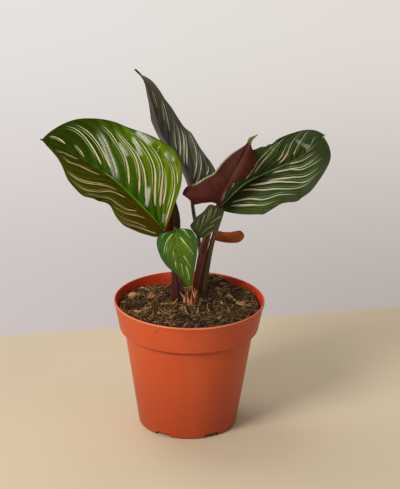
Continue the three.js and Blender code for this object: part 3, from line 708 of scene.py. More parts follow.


# Each half's widths are at even steps along the midrib. A stripe is three places along and across
# the half, and half its thickness in millimetres.
BLADES = {
    "left_leaf": {
        "slot": "green_leaf",
        "grid": (200, 56),
        "pleats": (0.16, 11),
        "ruffle": 0.5,
        "rib": 0.9,
        "midrib": [[-20.7, -1.4, 164.2], [-39.7, -7, 186.9], [-59.4, -11, 208], [-76.7, -14, 221.4],
                   [-95.6, -17, 234], [-116.5, -20, 244.2]],
        "faces": [[0.3, -0.75, 0.6], [0.3, -0.75, 0.6], [0.2, -0.8, 0.6]],
        "left": {
            "width": [41, 36, 38, 28, 33.5, 38, 33, 14.5, 9], "drip": 0.02, "fold": [12, 28, 20],
            "curl": [10, 0, -20], "wave": [2, 2, 0], "sweep": [0, 1, 0, 1.5, 2], "lean": 0.62,
            "stripes": [
                (0.71, 0.08, 0.81, 0.24, 0.88, 0.60, 0.4), (0.53, 0.16, 0.70, 0.28, 0.84, 0.62, 0.55),
                (0.48, 0.40, 0.62, 0.56, 0.76, 0.76, 0.4), (0.36, 0.26, 0.58, 0.56, 0.78, 0.82, 0.65),
                (0.29, 0.18, 0.50, 0.70, 0.73, 0.88, 0.7), (0.20, 0.26, 0.38, 0.76, 0.61, 0.92, 0.6),
                (0.14, 0.28, 0.24, 0.54, 0.36, 0.92, 0.6), (0.12, 0.62, 0.21, 0.72, 0.30, 0.88, 0.5),
                (0.05, 0.68, 0.16, 0.82, 0.28, 0.94, 0.6),
            ],
        },
        "right": {
            "width": [23, 56, 59, 48.5, 40.5, 40, 40, 38, 25], "drip": 0.02, "fold": [28, 28, 20],
            "curl": [0, -10, -20], "sweep": [0, 2, 0, 0, 1], "lean": 0.45,
            "stripes": [
                (0.83, 0.16, 0.89, 0.34, 0.94, 0.50, 0.55), (0.68, 0.06, 0.72, 0.14, 0.78, 0.24, 0.55),
                (0.54, 0.10, 0.71, 0.42, 0.87, 0.82, 0.85), (0.47, 0.14, 0.66, 0.48, 0.83, 0.82, 0.85),
                (0.32, 0.10, 0.48, 0.54, 0.70, 0.88, 0.85), (0.25, 0.12, 0.40, 0.54, 0.61, 0.88, 0.75),
                (0.20, 0.14, 0.36, 0.52, 0.57, 0.86, 0.75), (0.14, 0.22, 0.29, 0.57, 0.47, 0.90, 1.05),
                (0.12, 0.32, 0.24, 0.62, 0.39, 0.86, 0.95), (0.12, 0.42, 0.18, 0.60, 0.27, 0.70, 0.6),
                (0.03, 0.55, 0.14, 0.79, 0.30, 0.82, 0.75), (0.15, 0.88, 0.19, 0.89, 0.24, 0.89, 0.4),
            ],
            "shine": [
                (0.41, 0.07, 0.54, 0.36, 0.68, 0.67, 3), (0.47, 0.96, 0.42, 0.93, 0.38, 0.88, 3.4),
                (0.31, 0.88, 0.28, 0.87, 0.25, 0.87, 2.6), (0.17, 0.07, 0.20, 0.19, 0.24, 0.31, 1.6),
                (0.05, 0.24, 0.06, 0.36, 0.08, 0.47, 1.6), (0.38, 0.60, 0.43, 0.74, 0.47, 0.85, 1.8),
                (0.43, 0.50, 0.47, 0.57, 0.52, 0.67, 1.4),
            ],
        },
    },
    "back_leaf": {
        "slot": "dark_leaf",
        "grid": (190, 44),
        "pleats": (0.25, 12),
        "ruffle": 0.3,
        "rib": 0.9,
        "midrib": [[1, 30, 173.6], [0.5, 33.5, 190.5], [-11.5, 41, 210], [-24, 49, 225.5],
                   [-31.5, 56.5, 247.5], [-38.5, 61.5, 266.5], [-46.5, 63, 275.5]],
        "faces": [[0.7, -0.4, 0.4], [0.74, -0.31, 0.58], [0.74, -0.31, 0.5]],
        "left": {
            "width": [14, 27, 17, 20, 32, 12, 4], "drip": 0.09, "tip": 1.5, "fold": [22, 22],
            "sweep": [0, 4, 4, 0], "lean": 0.4,
            "stripes": [
                (0.49, 0.05, 0.58, 0.14, 0.70, 0.34, 0.5), (0.30, 0.25, 0.40, 0.36, 0.54, 0.60, 0.6),
                (0.62, 0.30, 0.72, 0.50, 0.82, 0.70, 0.5),
            ],
        },
        "right": {
            "width": [42, 37, 27, 29, 22, 16, 4], "drip": 0.09, "tip": 1.5, "fold": [22, 22],
            "curl": [0, -10, -10], "sweep": [0, 5, 4.5, 1], "lean": 0.4,
            "stripes": [
                (0.19, 0.60, 0.21, 0.74, 0.24, 0.84, 0.6), (0.16, 0.15, 0.25, 0.62, 0.34, 0.92, 0.75),
                (0.19, 0.11, 0.33, 0.76, 0.49, 0.94, 0.75), (0.27, 0.15, 0.39, 0.59, 0.48, 0.76, 0.65),
                (0.28, 0.07, 0.41, 0.55, 0.56, 0.84, 0.75), (0.33, 0.11, 0.42, 0.43, 0.58, 0.76, 0.7),
                (0.37, 0.13, 0.48, 0.41, 0.63, 0.85, 0.6), (0.51, 0.31, 0.60, 0.47, 0.71, 0.71, 0.75),
                (0.58, 0.27, 0.63, 0.43, 0.69, 0.55, 0.7), (0.65, 0.19, 0.70, 0.25, 0.76, 0.31, 0.6),
            ],
        },
    },
    "middle_leaf": {
        "slot": "red_leaf",
        "grid": (170, 40),
        "pleats": (0.1, 13),
        "ruffle": 0.25,
        "rib": 0.4,
        "midrib": [[22.5, 5.5, 183.5], [23.5, 3, 188], [24, 1, 192], [25.5, -1, 196], [28.5, -2, 202],
                   [32, -2, 210.5], [37.5, 1, 221], [44.5, 7, 234.5], [51.5, 7, 241.5]],
        "left": {
            "margin": [[23.5, 5.5, 183.5], [24, 5, 186.5], [24.5, 4, 190.5], [26, 4, 194.5], [28.5, 4, 198.5],
                       [33, 5, 203], [38.5, 7, 204.5], [45, 9, 207.5], [50, 11, 215.5], [49.5, 11, 223.5],
                       [46.5, 8, 234], [51.5, 7, 241.5]],
            "belly": [[0, 0, 0], [0, -2, 0], [0, -3, 0], [0, -3, 0], [0, 0, 0]], "lean": 0.3,
        },
        "right": {
            "margin": [[22, 5.5, 183.5], [13, 4, 186.5], [2.5, 8, 183.5], [-3, 9, 187.5], [-6.5, 11, 190],
                       [-4, 12, 195], [2.5, 10, 198.5], [10, 8, 204.5], [17.5, 8, 208.5], [23.5, 9, 217],
                       [31, 10, 224], [38.5, 10, 229.5], [43, 10, 233], [45, 10, 237.5], [51.5, 7, 241.5]],
            "belly": [[0, 0, 0], [0, -4, 0], [0, -5, 1], [0, -4, 1], [0, 0, 0]], "lean": 0.25,
        },
    },
    "right_leaf": {
        "slot": "dark_leaf",
        "grid": (200, 52),
        "pleats": (0.12, 10),
        "ruffle": 0.5,
        "rib": 0.9,
        "midrib": [[23.2, 24, 174.1], [41.3, 24.5, 193.3], [58.8, 23.3, 204], [76.6, 20.8, 213.7],
                   [87.7, 16, 222.1], [100.5, 12.5, 236.2]],
        "faces": [[0, -0.9, 0.35], [0, -0.9, 0.35]],
        "left": {
            "width": [30, 30, 29, 26, 25, 27, 34, 26], "drip": 0.02, "ends": (0.35, 0.35),
            "fold": [30, 40, 30], "sweep": [-3, -6, 6, -7], "lean": 0.6,
            "stripes": [
                (0.05, 0.18, 0.09, 0.30, 0.14, 0.40, 1.1), (0.14, 0.22, 0.16, 0.28, 0.19, 0.36, 0.8),
                (0.24, 0.12, 0.29, 0.24, 0.36, 0.40, 0.8), (0.31, 0.16, 0.53, 0.66, 0.85, 0.92, 0.85),
                (0.34, 0.42, 0.52, 0.78, 0.79, 0.94, 0.6), (0.53, 0.26, 0.70, 0.52, 0.84, 0.72, 0.7),
                (0.53, 0.14, 0.80, 0.54, 0.93, 0.96, 0.9), (0.73, 0.20, 0.87, 0.48, 0.95, 0.96, 0.85),
                (0.84, 0.04, 0.92, 0.20, 0.97, 0.54, 0.5),
            ],
            "shine": [
                (0.86, 0.41, 0.865, 0.52, 0.87, 0.64, 1.4), (0.87, 0.36, 0.875, 0.22, 0.88, 0.05, 1.8),
            ],
        },
        "right": {
            "width": [20, 37, 36, 30.5, 33.5, 34.5, 33, 40], "drip": 0.02, "ends": (0.45, 0.45),
            "fold": [30, 25, 20], "wave": [1, 2, 0], "sweep": [0, 0.5, -1, -5], "lean": 0.88,
            "stripes": [
                (0.07, 0.42, 0.18, 0.66, 0.41, 0.86, 0.9), (0.09, 0.28, 0.32, 0.64, 0.59, 0.82, 0.9),
                (0.17, 0.12, 0.47, 0.58, 0.79, 0.80, 0.85), (0.24, 0.12, 0.55, 0.46, 0.84, 0.84, 1.0),
                (0.39, 0.24, 0.65, 0.44, 0.85, 0.72, 0.85), (0.45, 0.08, 0.70, 0.24, 0.90, 0.46, 0.75),
                (0.60, 0.18, 0.78, 0.40, 0.90, 0.66, 0.6), (0.60, 0.03, 0.76, 0.12, 0.90, 0.24, 0.6),
            ],
        },
    },
    "front_leaf": {
        "slot": "green_leaf",
        "grid": (140, 40),
        "pleats": (0.22, 7),
        "ruffle": 0.3,
        "rib": 0.7,
        "midrib": [[-11.8, -11, 165.5], [-10, -17, 156], [-6, -20, 142], [0, -22, 123]],
        "faces": [[0, -0.7, 0.7], [0, -1, 0.3], [0, -1, 0.1]],
        "left": {
            "width": [33, 22, 18, 15, 13, 10.5, 7.5], "drip": 0.03, "fold": [10, 10], "curl": [-16, -14, 0],
            "sweep": [3, 1.5, 0.5, 0], "lean": 0.62,
            "stripes": [
                (0.02, 0.80, 0.11, 0.64, 0.24, 0.74, 0.6), (0.15, 0.23, 0.37, 0.48, 0.59, 0.82, 0.7),
                (0.52, 0.19, 0.67, 0.48, 0.76, 0.76, 0.4), (0.70, 0.25, 0.79, 0.38, 0.88, 0.47, 0.5),
            ],
        },
        "right": {
            "width": [32, 22, 16.5, 14, 11.5, 6, 5.5], "drip": 0.03, "fold": [10, 10], "curl": [-16, -14, 0],
            "sweep": [1.5, 1, 0, 0.5], "lean": 0.62,
            "stripes": [
                (0.03, 0.80, 0.11, 0.77, 0.18, 0.80, 0.4), (0.04, 0.19, 0.25, 0.54, 0.44, 0.80, 0.7),
                (0.31, 0.52, 0.37, 0.59, 0.43, 0.64, 0.35), (0.41, 0.25, 0.51, 0.33, 0.58, 0.38, 0.35),
                (0.58, 0.34, 0.64, 0.43, 0.71, 0.62, 0.5), (0.63, 0.03, 0.71, 0.08, 0.80, 0.30, 0.6),
            ],
        },
    },
    "small_leaf": {
        "slot": "dark_leaf",
        "grid": (110, 30),
        "pleats": (0.2, 6),
        "ruffle": 0.2,
        "rib": 0.5,
        "midrib": [[23.4, 1, 182], [14.7, -3.4, 170.7], [10, -5.6, 165], [5.5, -7.4, 159.3]],
        "faces": [[-0.3, -0.9, 0.3], [-0.3, -0.9, 0.3]],
        "left": {
            "width": [9.4, 7.8, 9, 8, 7.6, 7.8, 7], "drip": 0.04, "ends": (0.3, 0.6), "fold": [20, 20],
            "sweep": [0, 1, 2.2, 0.8], "lean": -0.6,
            "stripes": [
                (0.12, 0.88, 0.25, 0.29, 0.36, 0.08, 0.4), (0.29, 0.55, 0.47, 0.25, 0.86, 0.13, 0.35),
                (0.46, 0.89, 0.71, 0.87, 0.88, 0.95, 0.35),
            ],
        },
        "right": {
            "width": [16, 11.5, 11.8, 10.7, 12, 14.5, 10], "drip": 0.04, "ends": (0.3, 0.6), "fold": [10, 10],
            "sweep": [-1, -2.3, -1, 1.4], "lean": -0.6,
            "stripes": [
                (0.04, 0.30, 0.19, 0.07, 0.26, 0.05, 0.3), (0.07, 0.74, 0.19, 0.38, 0.36, 0.11, 0.35),
                (0.12, 0.76, 0.25, 0.40, 0.48, 0.14, 0.35), (0.20, 0.74, 0.37, 0.45, 0.77, 0.23, 0.4),
                (0.36, 0.76, 0.58, 0.64, 0.77, 0.50, 0.35),
            ],
        },
    },
    "young_leaf": {
        "slot": "red_leaf",
        "grid": (110, 18),
        "pleats": (0.1, 9),
        "ruffle": 0.1,
        "rib": 0.3,
        "midrib": [[-14, 12, 143], [-13.5, 10, 154], [-13, 9.5, 164], [-13, 10, 174], [-13, 12, 181],
                   [-12.5, 13, 184.5]],
        "left": {
            "margin": [[-14.5, 12.5, 143], [-19, 11, 152], [-20.5, 10, 162], [-19.5, 10.5, 172],
                       [-16, 12, 180], [-12.5, 13, 184.5]],
            "belly": [[0, -1, 0], [0, -2, 0], [0, -1, 0]], "lean": 0.3,
        },
        "right": {
            "margin": [[-13.5, 13, 143], [-9, 15, 151], [-8, 16.5, 160], [-8.5, 16.5, 169], [-10.5, 15, 178],
                       [-12.5, 13, 184.5]],
            "belly": [[0, -1, 0], [1, -1.5, 0], [0, -1, 0]], "lean": 0.3,
        },
    },
    "side_leaf": {
        "slot": "red_leaf",
        "grid": (100, 18),
        "pleats": (0.12, 5),
        "ruffle": 0.15,
        "rib": 0.3,
        "midrib": [[17, 25.5, 147], [22, 25, 145.5], [28, 27, 143.5], [33.5, 30, 142], [38.5, 34, 141],
                   [41.5, 38, 141.5], [43.5, 41, 143.5]],
        "left": {
            "margin": [[17, 29, 148.5], [21.5, 33, 150.5], [27, 38, 148], [32.5, 42, 146.5],
                       [37.5, 45, 146.5], [40.5, 46, 146], [43, 44, 144.5]],
            "belly": [[0, 0, -1], [0, 1, -2], [0, 0, -1]], "lean": 0.3,
        },
        "right": {
            "margin": [[17, 26, 149], [21.5, 27, 151.5], [27, 31, 149], [32.5, 34, 148.5], [37.5, 37, 148.5],
                       [40, 39, 149], [42.5, 41, 146]],
            "belly": [[0, -1, 0], [0, -2, 0], [0, -1, 0]], "lean": 0.3,
        },
    },
}


def make_leaves():
    wine = leaf_underside("leaf_wine_underside", srgb(60, 20, 18), srgb(90, 36, 30), srgb(110, 54, 42))
    # The lighter left half of the middle leaf's underside is painted light, lifting the shade of the half
    # turned away from the window.
    turned = leaf_underside("middle_leaf_underside", srgb(54, 20, 14), srgb(80, 36, 26), srgb(86, 42, 30),
                            rim=srgb(84, 98, 40), tip=srgb(96, 106, 34), left=srgb(106, 54, 40))
    rust = leaf_underside("leaf_rust_underside", srgb(132, 52, 24), srgb(190, 104, 46), srgb(150, 72, 36))
    russet = leaf_underside("young_leaf_underside", srgb(96, 26, 10), srgb(136, 56, 22), srgb(110, 44, 22))
    edge = leaf_margin("leaf_margin", srgb(58, 40, 22))
    left = leaf_top("left_leaf_top", (srgb(30, 54, 0), srgb(62, 96, 0), srgb(106, 142, 0)),
                    left_shades=(srgb(54, 61, 4), srgb(82, 86, 8), srgb(118, 118, 22)),
                    left_stripe=srgb(232, 200, 146), near_rib=srgb(94, 76, 4), midrib=srgb(98, 144, 10),
                    foot=srgb(108, 80, 10), bright=srgb(126, 156, 0), fade=srgb(42, 52, 4), companion=0.7,
                    sheen=0.02, highlight_paint=0.55)
    # The pale grey left half of the back leaf is a painted sheen, the bright wall reflected on a half turned
    # away from the window.
    back = leaf_top("back_leaf_top", (srgb(54, 54, 38), srgb(86, 88, 70), srgb(122, 124, 110)),
                    left_shades=(srgb(138, 122, 112), srgb(176, 160, 150), srgb(202, 188, 182)),
                    stripe_shades=(srgb(222, 230, 194), srgb(206, 206, 178)), midrib=srgb(128, 96, 90),
                    foot=srgb(40, 14, 14), fade=srgb(112, 98, 84), end=((0.9, 0.93), srgb(40, 24, 18)),
                    companion=0.35, sheen=0.3, foot_strength=0.95)
    # The right leaf's left half is its own greener tone, and is also painted lighter against the shade near
    # the middle leaf.
    right = leaf_top("right_leaf_top", (srgb(28, 38, 6), srgb(48, 62, 12), srgb(80, 92, 28)),
                     left_shades=(srgb(34, 50, 18), srgb(58, 78, 30), srgb(88, 108, 48)),
                     stripe_shades=(srgb(178, 190, 146), srgb(200, 184, 152)), midrib=srgb(158, 190, 130),
                     companion=0.3, sheen=0.13, highlight_paint=0.75)
    front = leaf_top("front_leaf_top", (srgb(50, 78, 8), srgb(80, 106, 6), srgb(112, 136, 12)),
                     stripe_shades=(srgb(160, 188, 104), srgb(186, 204, 140)), midrib=srgb(84, 116, 30),
                     edge=srgb(40, 82, 28))
    small = leaf_top("small_leaf_top", (srgb(30, 38, 8), srgb(44, 54, 14), srgb(62, 74, 26)),
                     stripe_shades=(srgb(130, 126, 84), srgb(140, 116, 86)), midrib=srgb(66, 44, 20),
                     companion=0.4)
    olive = leaf_underside("young_leaf_top", srgb(48, 46, 24), srgb(76, 72, 42), srgb(124, 104, 60),
                           left=srgb(104, 32, 12))
    looks = {
        "left_leaf": (left, wine), "back_leaf": (back, wine), "middle_leaf": (olive, turned),
        "right_leaf": (right, wine), "front_leaf": (front, wine), "small_leaf": (small, wine),
        "young_leaf": (olive, russet), "side_leaf": (rust, rust),
    }
    for name, blade in BLADES.items():
        top, under = looks[name]
        make_leaf(name, blade, [top, under, edge])


# Stalks

STALKS = {
    "left_leaf_stalk": {
        "points": [[-10.6, 5.5, 88], [-10.6, 5.5, 102], [-12, 4.5, 125], [-15, 1.5, 148],
                   [-23.4, -2.9, 166.4]],
        "radii": [3, 3, 2.4, 2, 1.5],
    },
    "front_leaf_stalk": {
        "points": [[-6, 4, 88], [-6, 4, 102], [-7.3, 3, 125], [-9.4, 3, 155], [-11.4, -2.6, 165.8],
                   [-12.2, -9.3, 167.2]],
        "radii": [1.6, 1.6, 1.4, 1.2, 1.1, 1],
    },
    "young_leaf_stalk": {
        "points": [[-12.5, 12, 88], [-12.5, 12, 102], [-13.4, 12.2, 125], [-14, 12, 142.6]],
        "radii": [1.6, 1.5, 1.3, 1.1],
    },
    "back_leaf_stalk": {
        "points": [[9.5, 27, 88], [9.5, 27, 102], [8.5, 27.5, 125], [6.3, 27.3, 149.3], [3, 28, 163.8],
                   [0.7, 31, 178]],
        "radii": [1.6, 1.5, 1.4, 1.4, 1.5, 1.3],
    },
    "middle_leaf_stalk": {
        "points": [[5.3, 20.5, 88], [5.5, 20.5, 102], [9, 17.8, 130], [12, 15.5, 148], [17, 10, 168.8],
                   [21.3, 5.2, 183.1]],
        "radii": [3.3, 3.4, 3.4, 3.0, 2.2, 1.4],
    },
    "right_leaf_stalk": {
        "points": [[11, 21, 88], [11.2, 21, 102], [14.5, 18.5, 130], [18, 18.5, 148.5], [24, 21.8, 168],
                   [25.7, 23.8, 174]],
        "radii": [2.2, 2.2, 2.1, 1.9, 1.7, 1.5],
    },
    "small_leaf_stalk": {
        "points": [[10.2, 12.2, 140], [14.2, 7.6, 158.5], [20.4, 3, 176.5], [23.1, 2.1, 182]],
        "radii": [1.1, 1.1, 1, 0.9],
    },
    "side_leaf_stalk": {
        "points": [[14.8, 21.7, 122], [15.8, 23, 134], [16.6, 25.4, 146.4]],
        "radii": [0.9, 1, 1.1],
    },
}


def stalk_look(name, foot, middle, head, streak):
    """A stalk whose colour changes from its foot to the leaf, with fine ribs along it."""
    look = Look(name)
    share = look.painted("share")
    turn = look.painted("turn")
    where = look.place()
    grain = look.noise(where, 320, 3)
    ribs = look.bands(turn * (TURN * STALK_RIBS) + look.noise(where, 40, 1) * 3)
    colour = look.blend(share, (foot, middle, head), ((0.1, 0.5), (0.55, 1.0)))
    colour = look.mix(look.step(0.55, 0.95, ribs) * 0.35, colour, streak)
    speckle = look.step(0.6, 0.75, look.noise(where, 520, 2))
    colour = look.mix(speckle * 0.3, colour, srgb(40, 22, 18))
    normal = look.bump(ribs * 0.8 + grain * 0.5, 0.16)
    return look.finish(colour, 0.4 + grain * 0.2, normal, specular_ior_level=0.3)


def make_stalks():
    shades = {
        "dark_red_stalk": (srgb(70, 30, 18), srgb(106, 48, 26), srgb(92, 50, 32), srgb(176, 104, 58)),
        "olive_stalk": (srgb(76, 58, 34), srgb(98, 82, 46), srgb(100, 100, 54), srgb(146, 124, 76)),
        "thin_stalk": (srgb(66, 40, 30), srgb(88, 68, 46), srgb(98, 60, 54), srgb(130, 104, 80)),
        "plum_stalk": (srgb(54, 18, 24), srgb(74, 32, 28), srgb(84, 84, 30), srgb(96, 44, 36)),
    }
    red, olive, thin, plum = (stalk_look(name, *tones) for name, tones in shades.items())
    looks = {"right_leaf_stalk": olive, "back_leaf_stalk": thin, "side_leaf_stalk": olive,
             "left_leaf_stalk": plum, "front_leaf_stalk": plum, "young_leaf_stalk": plum}

    def section(t, turn):
        foot = 0.14 * np.exp(-((t / 0.35) ** 2))
        return 1 + foot * np.cos(turn * 2) + 0.03 * np.cos(turn * STALK_RIBS)

    for name, stalk in STALKS.items():
        line, radii = stalk["points"], stalk["radii"]
        points, faces, share, turn = tube(line, radii, STALK_SIDES, STALK_STEPS, section)
        make_piece(name + "_skin", points, faces, [looks.get(name, red)], (name,),
                   painted={"share": share, "turn": turn}, sharp=70)


def make_sheath():
    """The dry sheath of an old stalk: a swollen foot that frays into papery shreds."""
    rng = np.random.default_rng(11)
    foot = np.array(SHEATH_FOOT)
    bits = []
    for shred in range(SHREDS):
        turn = TURN * shred / SHREDS + rng.normal(0, 0.08)
        out = np.array([math.cos(turn), math.sin(turn), 0])
        tall = rng.uniform(8, 15) + 3 * out[1]
        lean = rng.uniform(2, 6.5)
        sway = rng.normal(0, 1.3, 3)
        path = [foot + 3.6 * out, foot + 4.4 * out + [0, 0, SHEATH_SWELL],
                foot + 4 * out + [0, 0, SHEATH_SWELL + 0.5 * tall] + 0.4 * sway,
                foot + lean * out + [0, 0, SHEATH_SWELL + tall] + sway]
        skin, quads, share, _ = tube(path, [1, 1.1, rng.uniform(0.5, 0.9), 0.15], 7, 14)
        bits.append((skin, quads, rng.uniform(0, 0.75) + 0.25 * share))
    look = litter_look("dry_sheath", srgb(84, 42, 24), srgb(186, 104, 62), srgb(222, 172, 118), 0.75)
    points, faces, painted = joined(bits)
    make_piece("dry_sheath_skin", points, faces, [look], ("dry_sheath",), painted=painted)


# Pot

def arc(centre, radius, first, last, steps):
    """Points round a centre, from the angle first to the angle last in degrees, without the first."""
    angles = [math.radians(first + (last - first) * i / steps) for i in range(1, steps + 1)]
    return [(centre[0] + radius * math.cos(a), centre[1] + radius * math.sin(a)) for a in angles]


def between(start, end, steps):
    """Points on a straight line, without its start."""
    return [(start[0] + (end[0] - start[0]) * i / steps, start[1] + (end[1] - start[1]) * i / steps)
            for i in range(1, steps + 1)]


def pot_outline():
    """The outside from the foot, over the lip, and down the inside to the floor."""
    ledge = POT_HEIGHT - COLLAR_DEPTH
    under_lip = POT_HEIGHT - LIP_DEPTH
    collar_centre = COLLAR_FOOT_RADIUS - COLLAR_ROUND
    outside = [(0, 0), (BASE_RADIUS - BASE_CORNER, 0)]
    outside += arc((BASE_RADIUS - BASE_CORNER, BASE_CORNER), BASE_CORNER, -90, 0, 6)
    outside += between(outside[-1], (BODY_TOP_RADIUS - 0.25, ledge - 0.8), 26)
    outside += [(BODY_TOP_RADIUS, ledge), (collar_centre, ledge)]
    outside += arc((collar_centre, ledge + COLLAR_ROUND), COLLAR_ROUND, -90, 0, 8)
    outside += between(outside[-1], (RIM_RADIUS - 0.75, under_lip - 0.4), 10)
    outside += [(RIM_RADIUS - 0.5, under_lip), (RIM_RADIUS - 0.1, under_lip + 0.5)]
    outside += arc((RIM_RADIUS - LIP_ROUND, POT_HEIGHT - LIP_ROUND), LIP_ROUND, 0, 180, 12)
    inner_top = RIM_RADIUS - LIP_WIDTH
    inside = [(inner_top + 0.1, POT_HEIGHT - 1.2), (inner_top - 0.3, POT_HEIGHT - 2.6)]
    inside += between(inside[-1], (COLLAR_FOOT_RADIUS - WALL, ledge + WALL), 8)
    inside += [(BODY_TOP_RADIUS - WALL, ledge + WALL), (BASE_RADIUS - WALL, FLOOR_THICKNESS + BASE_CORNER)]
    inside += [(BASE_RADIUS - WALL - BASE_CORNER, FLOOR_THICKNESS), (0, FLOOR_THICKNESS)]
    return outside + inside


def turned_shell(outline, segments):
    """Points and faces of an outline turned about the pot's axis, starting and ending on it."""
    ring = outline[1:-1]
    turn = np.linspace(0, TURN, segments, endpoint=False)
    points = [(r * math.cos(a), r * math.sin(a), z) for r, z in ring for a in turn]
    faces = [list(q) for q in grid_faces(len(ring), segments, closed=True)]
    points += [(0, 0, outline[0][1]), (0, 0, outline[-1][1])]
    last = (len(ring) - 1) * segments
    for i in range(segments):
        beside = (i + 1) % segments
        faces.append([len(points) - 2, beside, i])
        faces.append([len(points) - 1, last + i, last + beside])
    return points, faces


def notch_cutter():
    """One box for each drainage notch, with rounded upper corners, as a mesh object."""
    half = NOTCH_WIDTH / 2
    corner = half - NOTCH_ROUND
    shoulder = NOTCH_HEIGHT - NOTCH_ROUND
    profile = [(-half, -NOTCH_HEIGHT), (half, -NOTCH_HEIGHT), (half, shoulder)]
    profile += arc((corner, shoulder), NOTCH_ROUND, 0, 90, 4)
    profile += [(-corner, NOTCH_HEIGHT)] + arc((-corner, shoulder), NOTCH_ROUND, 90, 180, 4)
    size = len(profile)
    points, faces = [], []
    for notch in range(NOTCH_COUNT):
        turn = TURN * notch / NOTCH_COUNT
        start = len(points)
        for x in (BASE_RADIUS - NOTCH_REACH, BASE_RADIUS + NOTCH_REACH):
            points += [(x * math.cos(turn) - side * math.sin(turn),
                        x * math.sin(turn) + side * math.cos(turn), z) for side, z in profile]
        faces.append([start + i for i in range(size - 1, -1, -1)])
        faces.append([start + size + i for i in range(size)])
        for i in range(size):
            j = (i + 1) % size
            faces.append([start + i, start + j, start + size + j, start + size + i])
    mesh = bpy.data.meshes.new("notch_cutter")
    mesh.from_pydata((np.array(points) * MM).tolist(), [], faces)
    cutter = bpy.data.objects.new("notch_cutter", mesh)
    scene.collection.objects.link(cutter)
    return cutter


def pot_look():
    """Matt moulded plastic, faintly streaked, with painted shade at its foot and under the collar and a
    painted highlight along the lip.
    """
    look = Look("terracotta_plastic")
    rim = POT_HEIGHT * MM
    ledge = (POT_HEIGHT - COLLAR_DEPTH) * MM
    where = look.place()
    z = look.parts(where)[2]
    cloud = look.noise(where, 18, 2)
    grain = look.noise(where, 900, 3)
    streaks = look.noise(where * (6.0, 6.0, 0.8), 16, 3)
    colour = look.mix(look.step(0.3, 0.7, cloud), srgb(196, 78, 34), srgb(206, 86, 40))
    colour = look.mix(look.step(0.52, 0.8, streaks) * 0.22, colour, srgb(218, 116, 74))
    # Painted shade: the colour darkens towards the foot.
    colour = look.mix(look.step(0.07, 0.0, z) * 0.55, colour, srgb(150, 50, 22))
    reach = look.node("VectorMath", {"operation": "LENGTH"}, {0: where * (1.0, 1.0, 0.0)}, output=1)
    # Painted shadow under the collar's ledge.
    painted_shade_under_ledge = look.step(ledge - 0.004, ledge - 0.0005, z) * (reach < 0.0535)
    colour = look.mix(painted_shade_under_ledge * 0.5, colour, srgb(110, 36, 16))

    # The lit inside, a painted highlight along the lip, splashes of soil on the collar and scuffs at the foot
    inside = (z > ledge + 0.001) * (reach - z * 0.19 < 0.0393)
    colour = look.mix(inside * 0.7, colour, srgb(206, 50, 14))
    # Painted highlight: a pale band along the top of the lip.
    lip = look.step(rim - 0.0014, rim - 0.0006, z) * (1 - inside)
    colour = look.mix(lip * 0.6, colour, srgb(228, 138, 104))
    splash = look.step(0.62, 0.72, look.noise(where, 140, 4)) * look.step(ledge + 0.005, rim - 0.001, z)
    colour = look.mix(splash * 0.5, colour, srgb(98, 58, 36))
    scuff = look.step(0.66, 0.74, look.noise(where * (1.0, 1.0, 6.0), 60, 5)) * look.step(0.03, 0.0, z)
    colour = look.mix(scuff * 0.3, colour, srgb(226, 158, 126))
    normal = look.bump(grain * 0.6 + streaks * 0.6, 0.05)
    return look.finish(colour, 0.42 + (streaks - 0.5) * 0.2 + splash * 0.3, normal,
                       specular_ior_level=0.3, subsurface_weight=0.06, subsurface_scale=0.004)


def make_pot():
    """The turned shell, with the drainage notches cut out of its foot."""
    plastic = pot_look()
    points, faces = turned_shell(pot_outline(), POT_SEGMENTS)
    piece = make_piece("nursery_pot", points, faces, [plastic], ("pot",))
    cutter = notch_cutter()
    cut = piece.modifiers.new("notches", "BOOLEAN")
    cut.operation = "DIFFERENCE"
    cut.solver = "EXACT"
    cut.object = cutter
    bpy.context.view_layer.update()
    made = bpy.data.meshes.new_from_object(piece.evaluated_get(bpy.context.evaluated_depsgraph_get()))
    piece.modifiers.clear()
    piece.data = made
    bpy.data.objects.remove(cutter)
    made.materials.clear()
    made.materials.append(plastic)
    made.polygons.foreach_set("use_smooth", np.ones(len(made.polygons), bool))
    made.set_sharp_from_angle(angle=math.radians(POT_CREASE))


# Soil

def crumbs(points):
    """How far rough soil rises at each point, from noise of several sizes, in millimetres."""
    return np.array([sum(rise * noise.noise(Vector((x * scale, y * scale, layer)))
                         for scale, layer, rise in SOIL_ROUGHNESS) for x, y in points])


def soil_look():
    """Dark peat with paler specks."""
    look = Look("potting_mix")
    where = look.place()
    tone = look.noise(where, 160, 5, 0.65)
    spots = look.noise(where, 420, 4, 0.6)
    colour = look.mix(look.step(0.35, 0.68, tone), srgb(26, 16, 8), srgb(84, 58, 32))
    colour = look.mix(look.step(0.58, 0.72, spots) * 0.7, colour, srgb(134, 102, 58))
    return look.finish(colour, 0.95, look.bump(tone + spots, 1.0), specular_ior_level=0.2)


def litter_look(name, dark, middle, pale, rough=0.85):
    """Bark, fibre and straw: each bit has its own tone."""
    look = Look(name)
    where = look.place()
    tone = look.painted("tone")
    grain = look.noise(where, 700, 4)
    streak = look.noise(where * (1.0, 1.0, 3.0), 260, 3)
    light = tone + (grain - 0.5) * 0.5 + (streak - 0.5) * 0.3
    colour = look.blend(light, (dark, middle, pale), ((0.1, 0.55), (0.5, 1.0)))
    return look.finish(colour, rough, look.bump(grain + streak, 0.3), specular_ior_level=0.25)


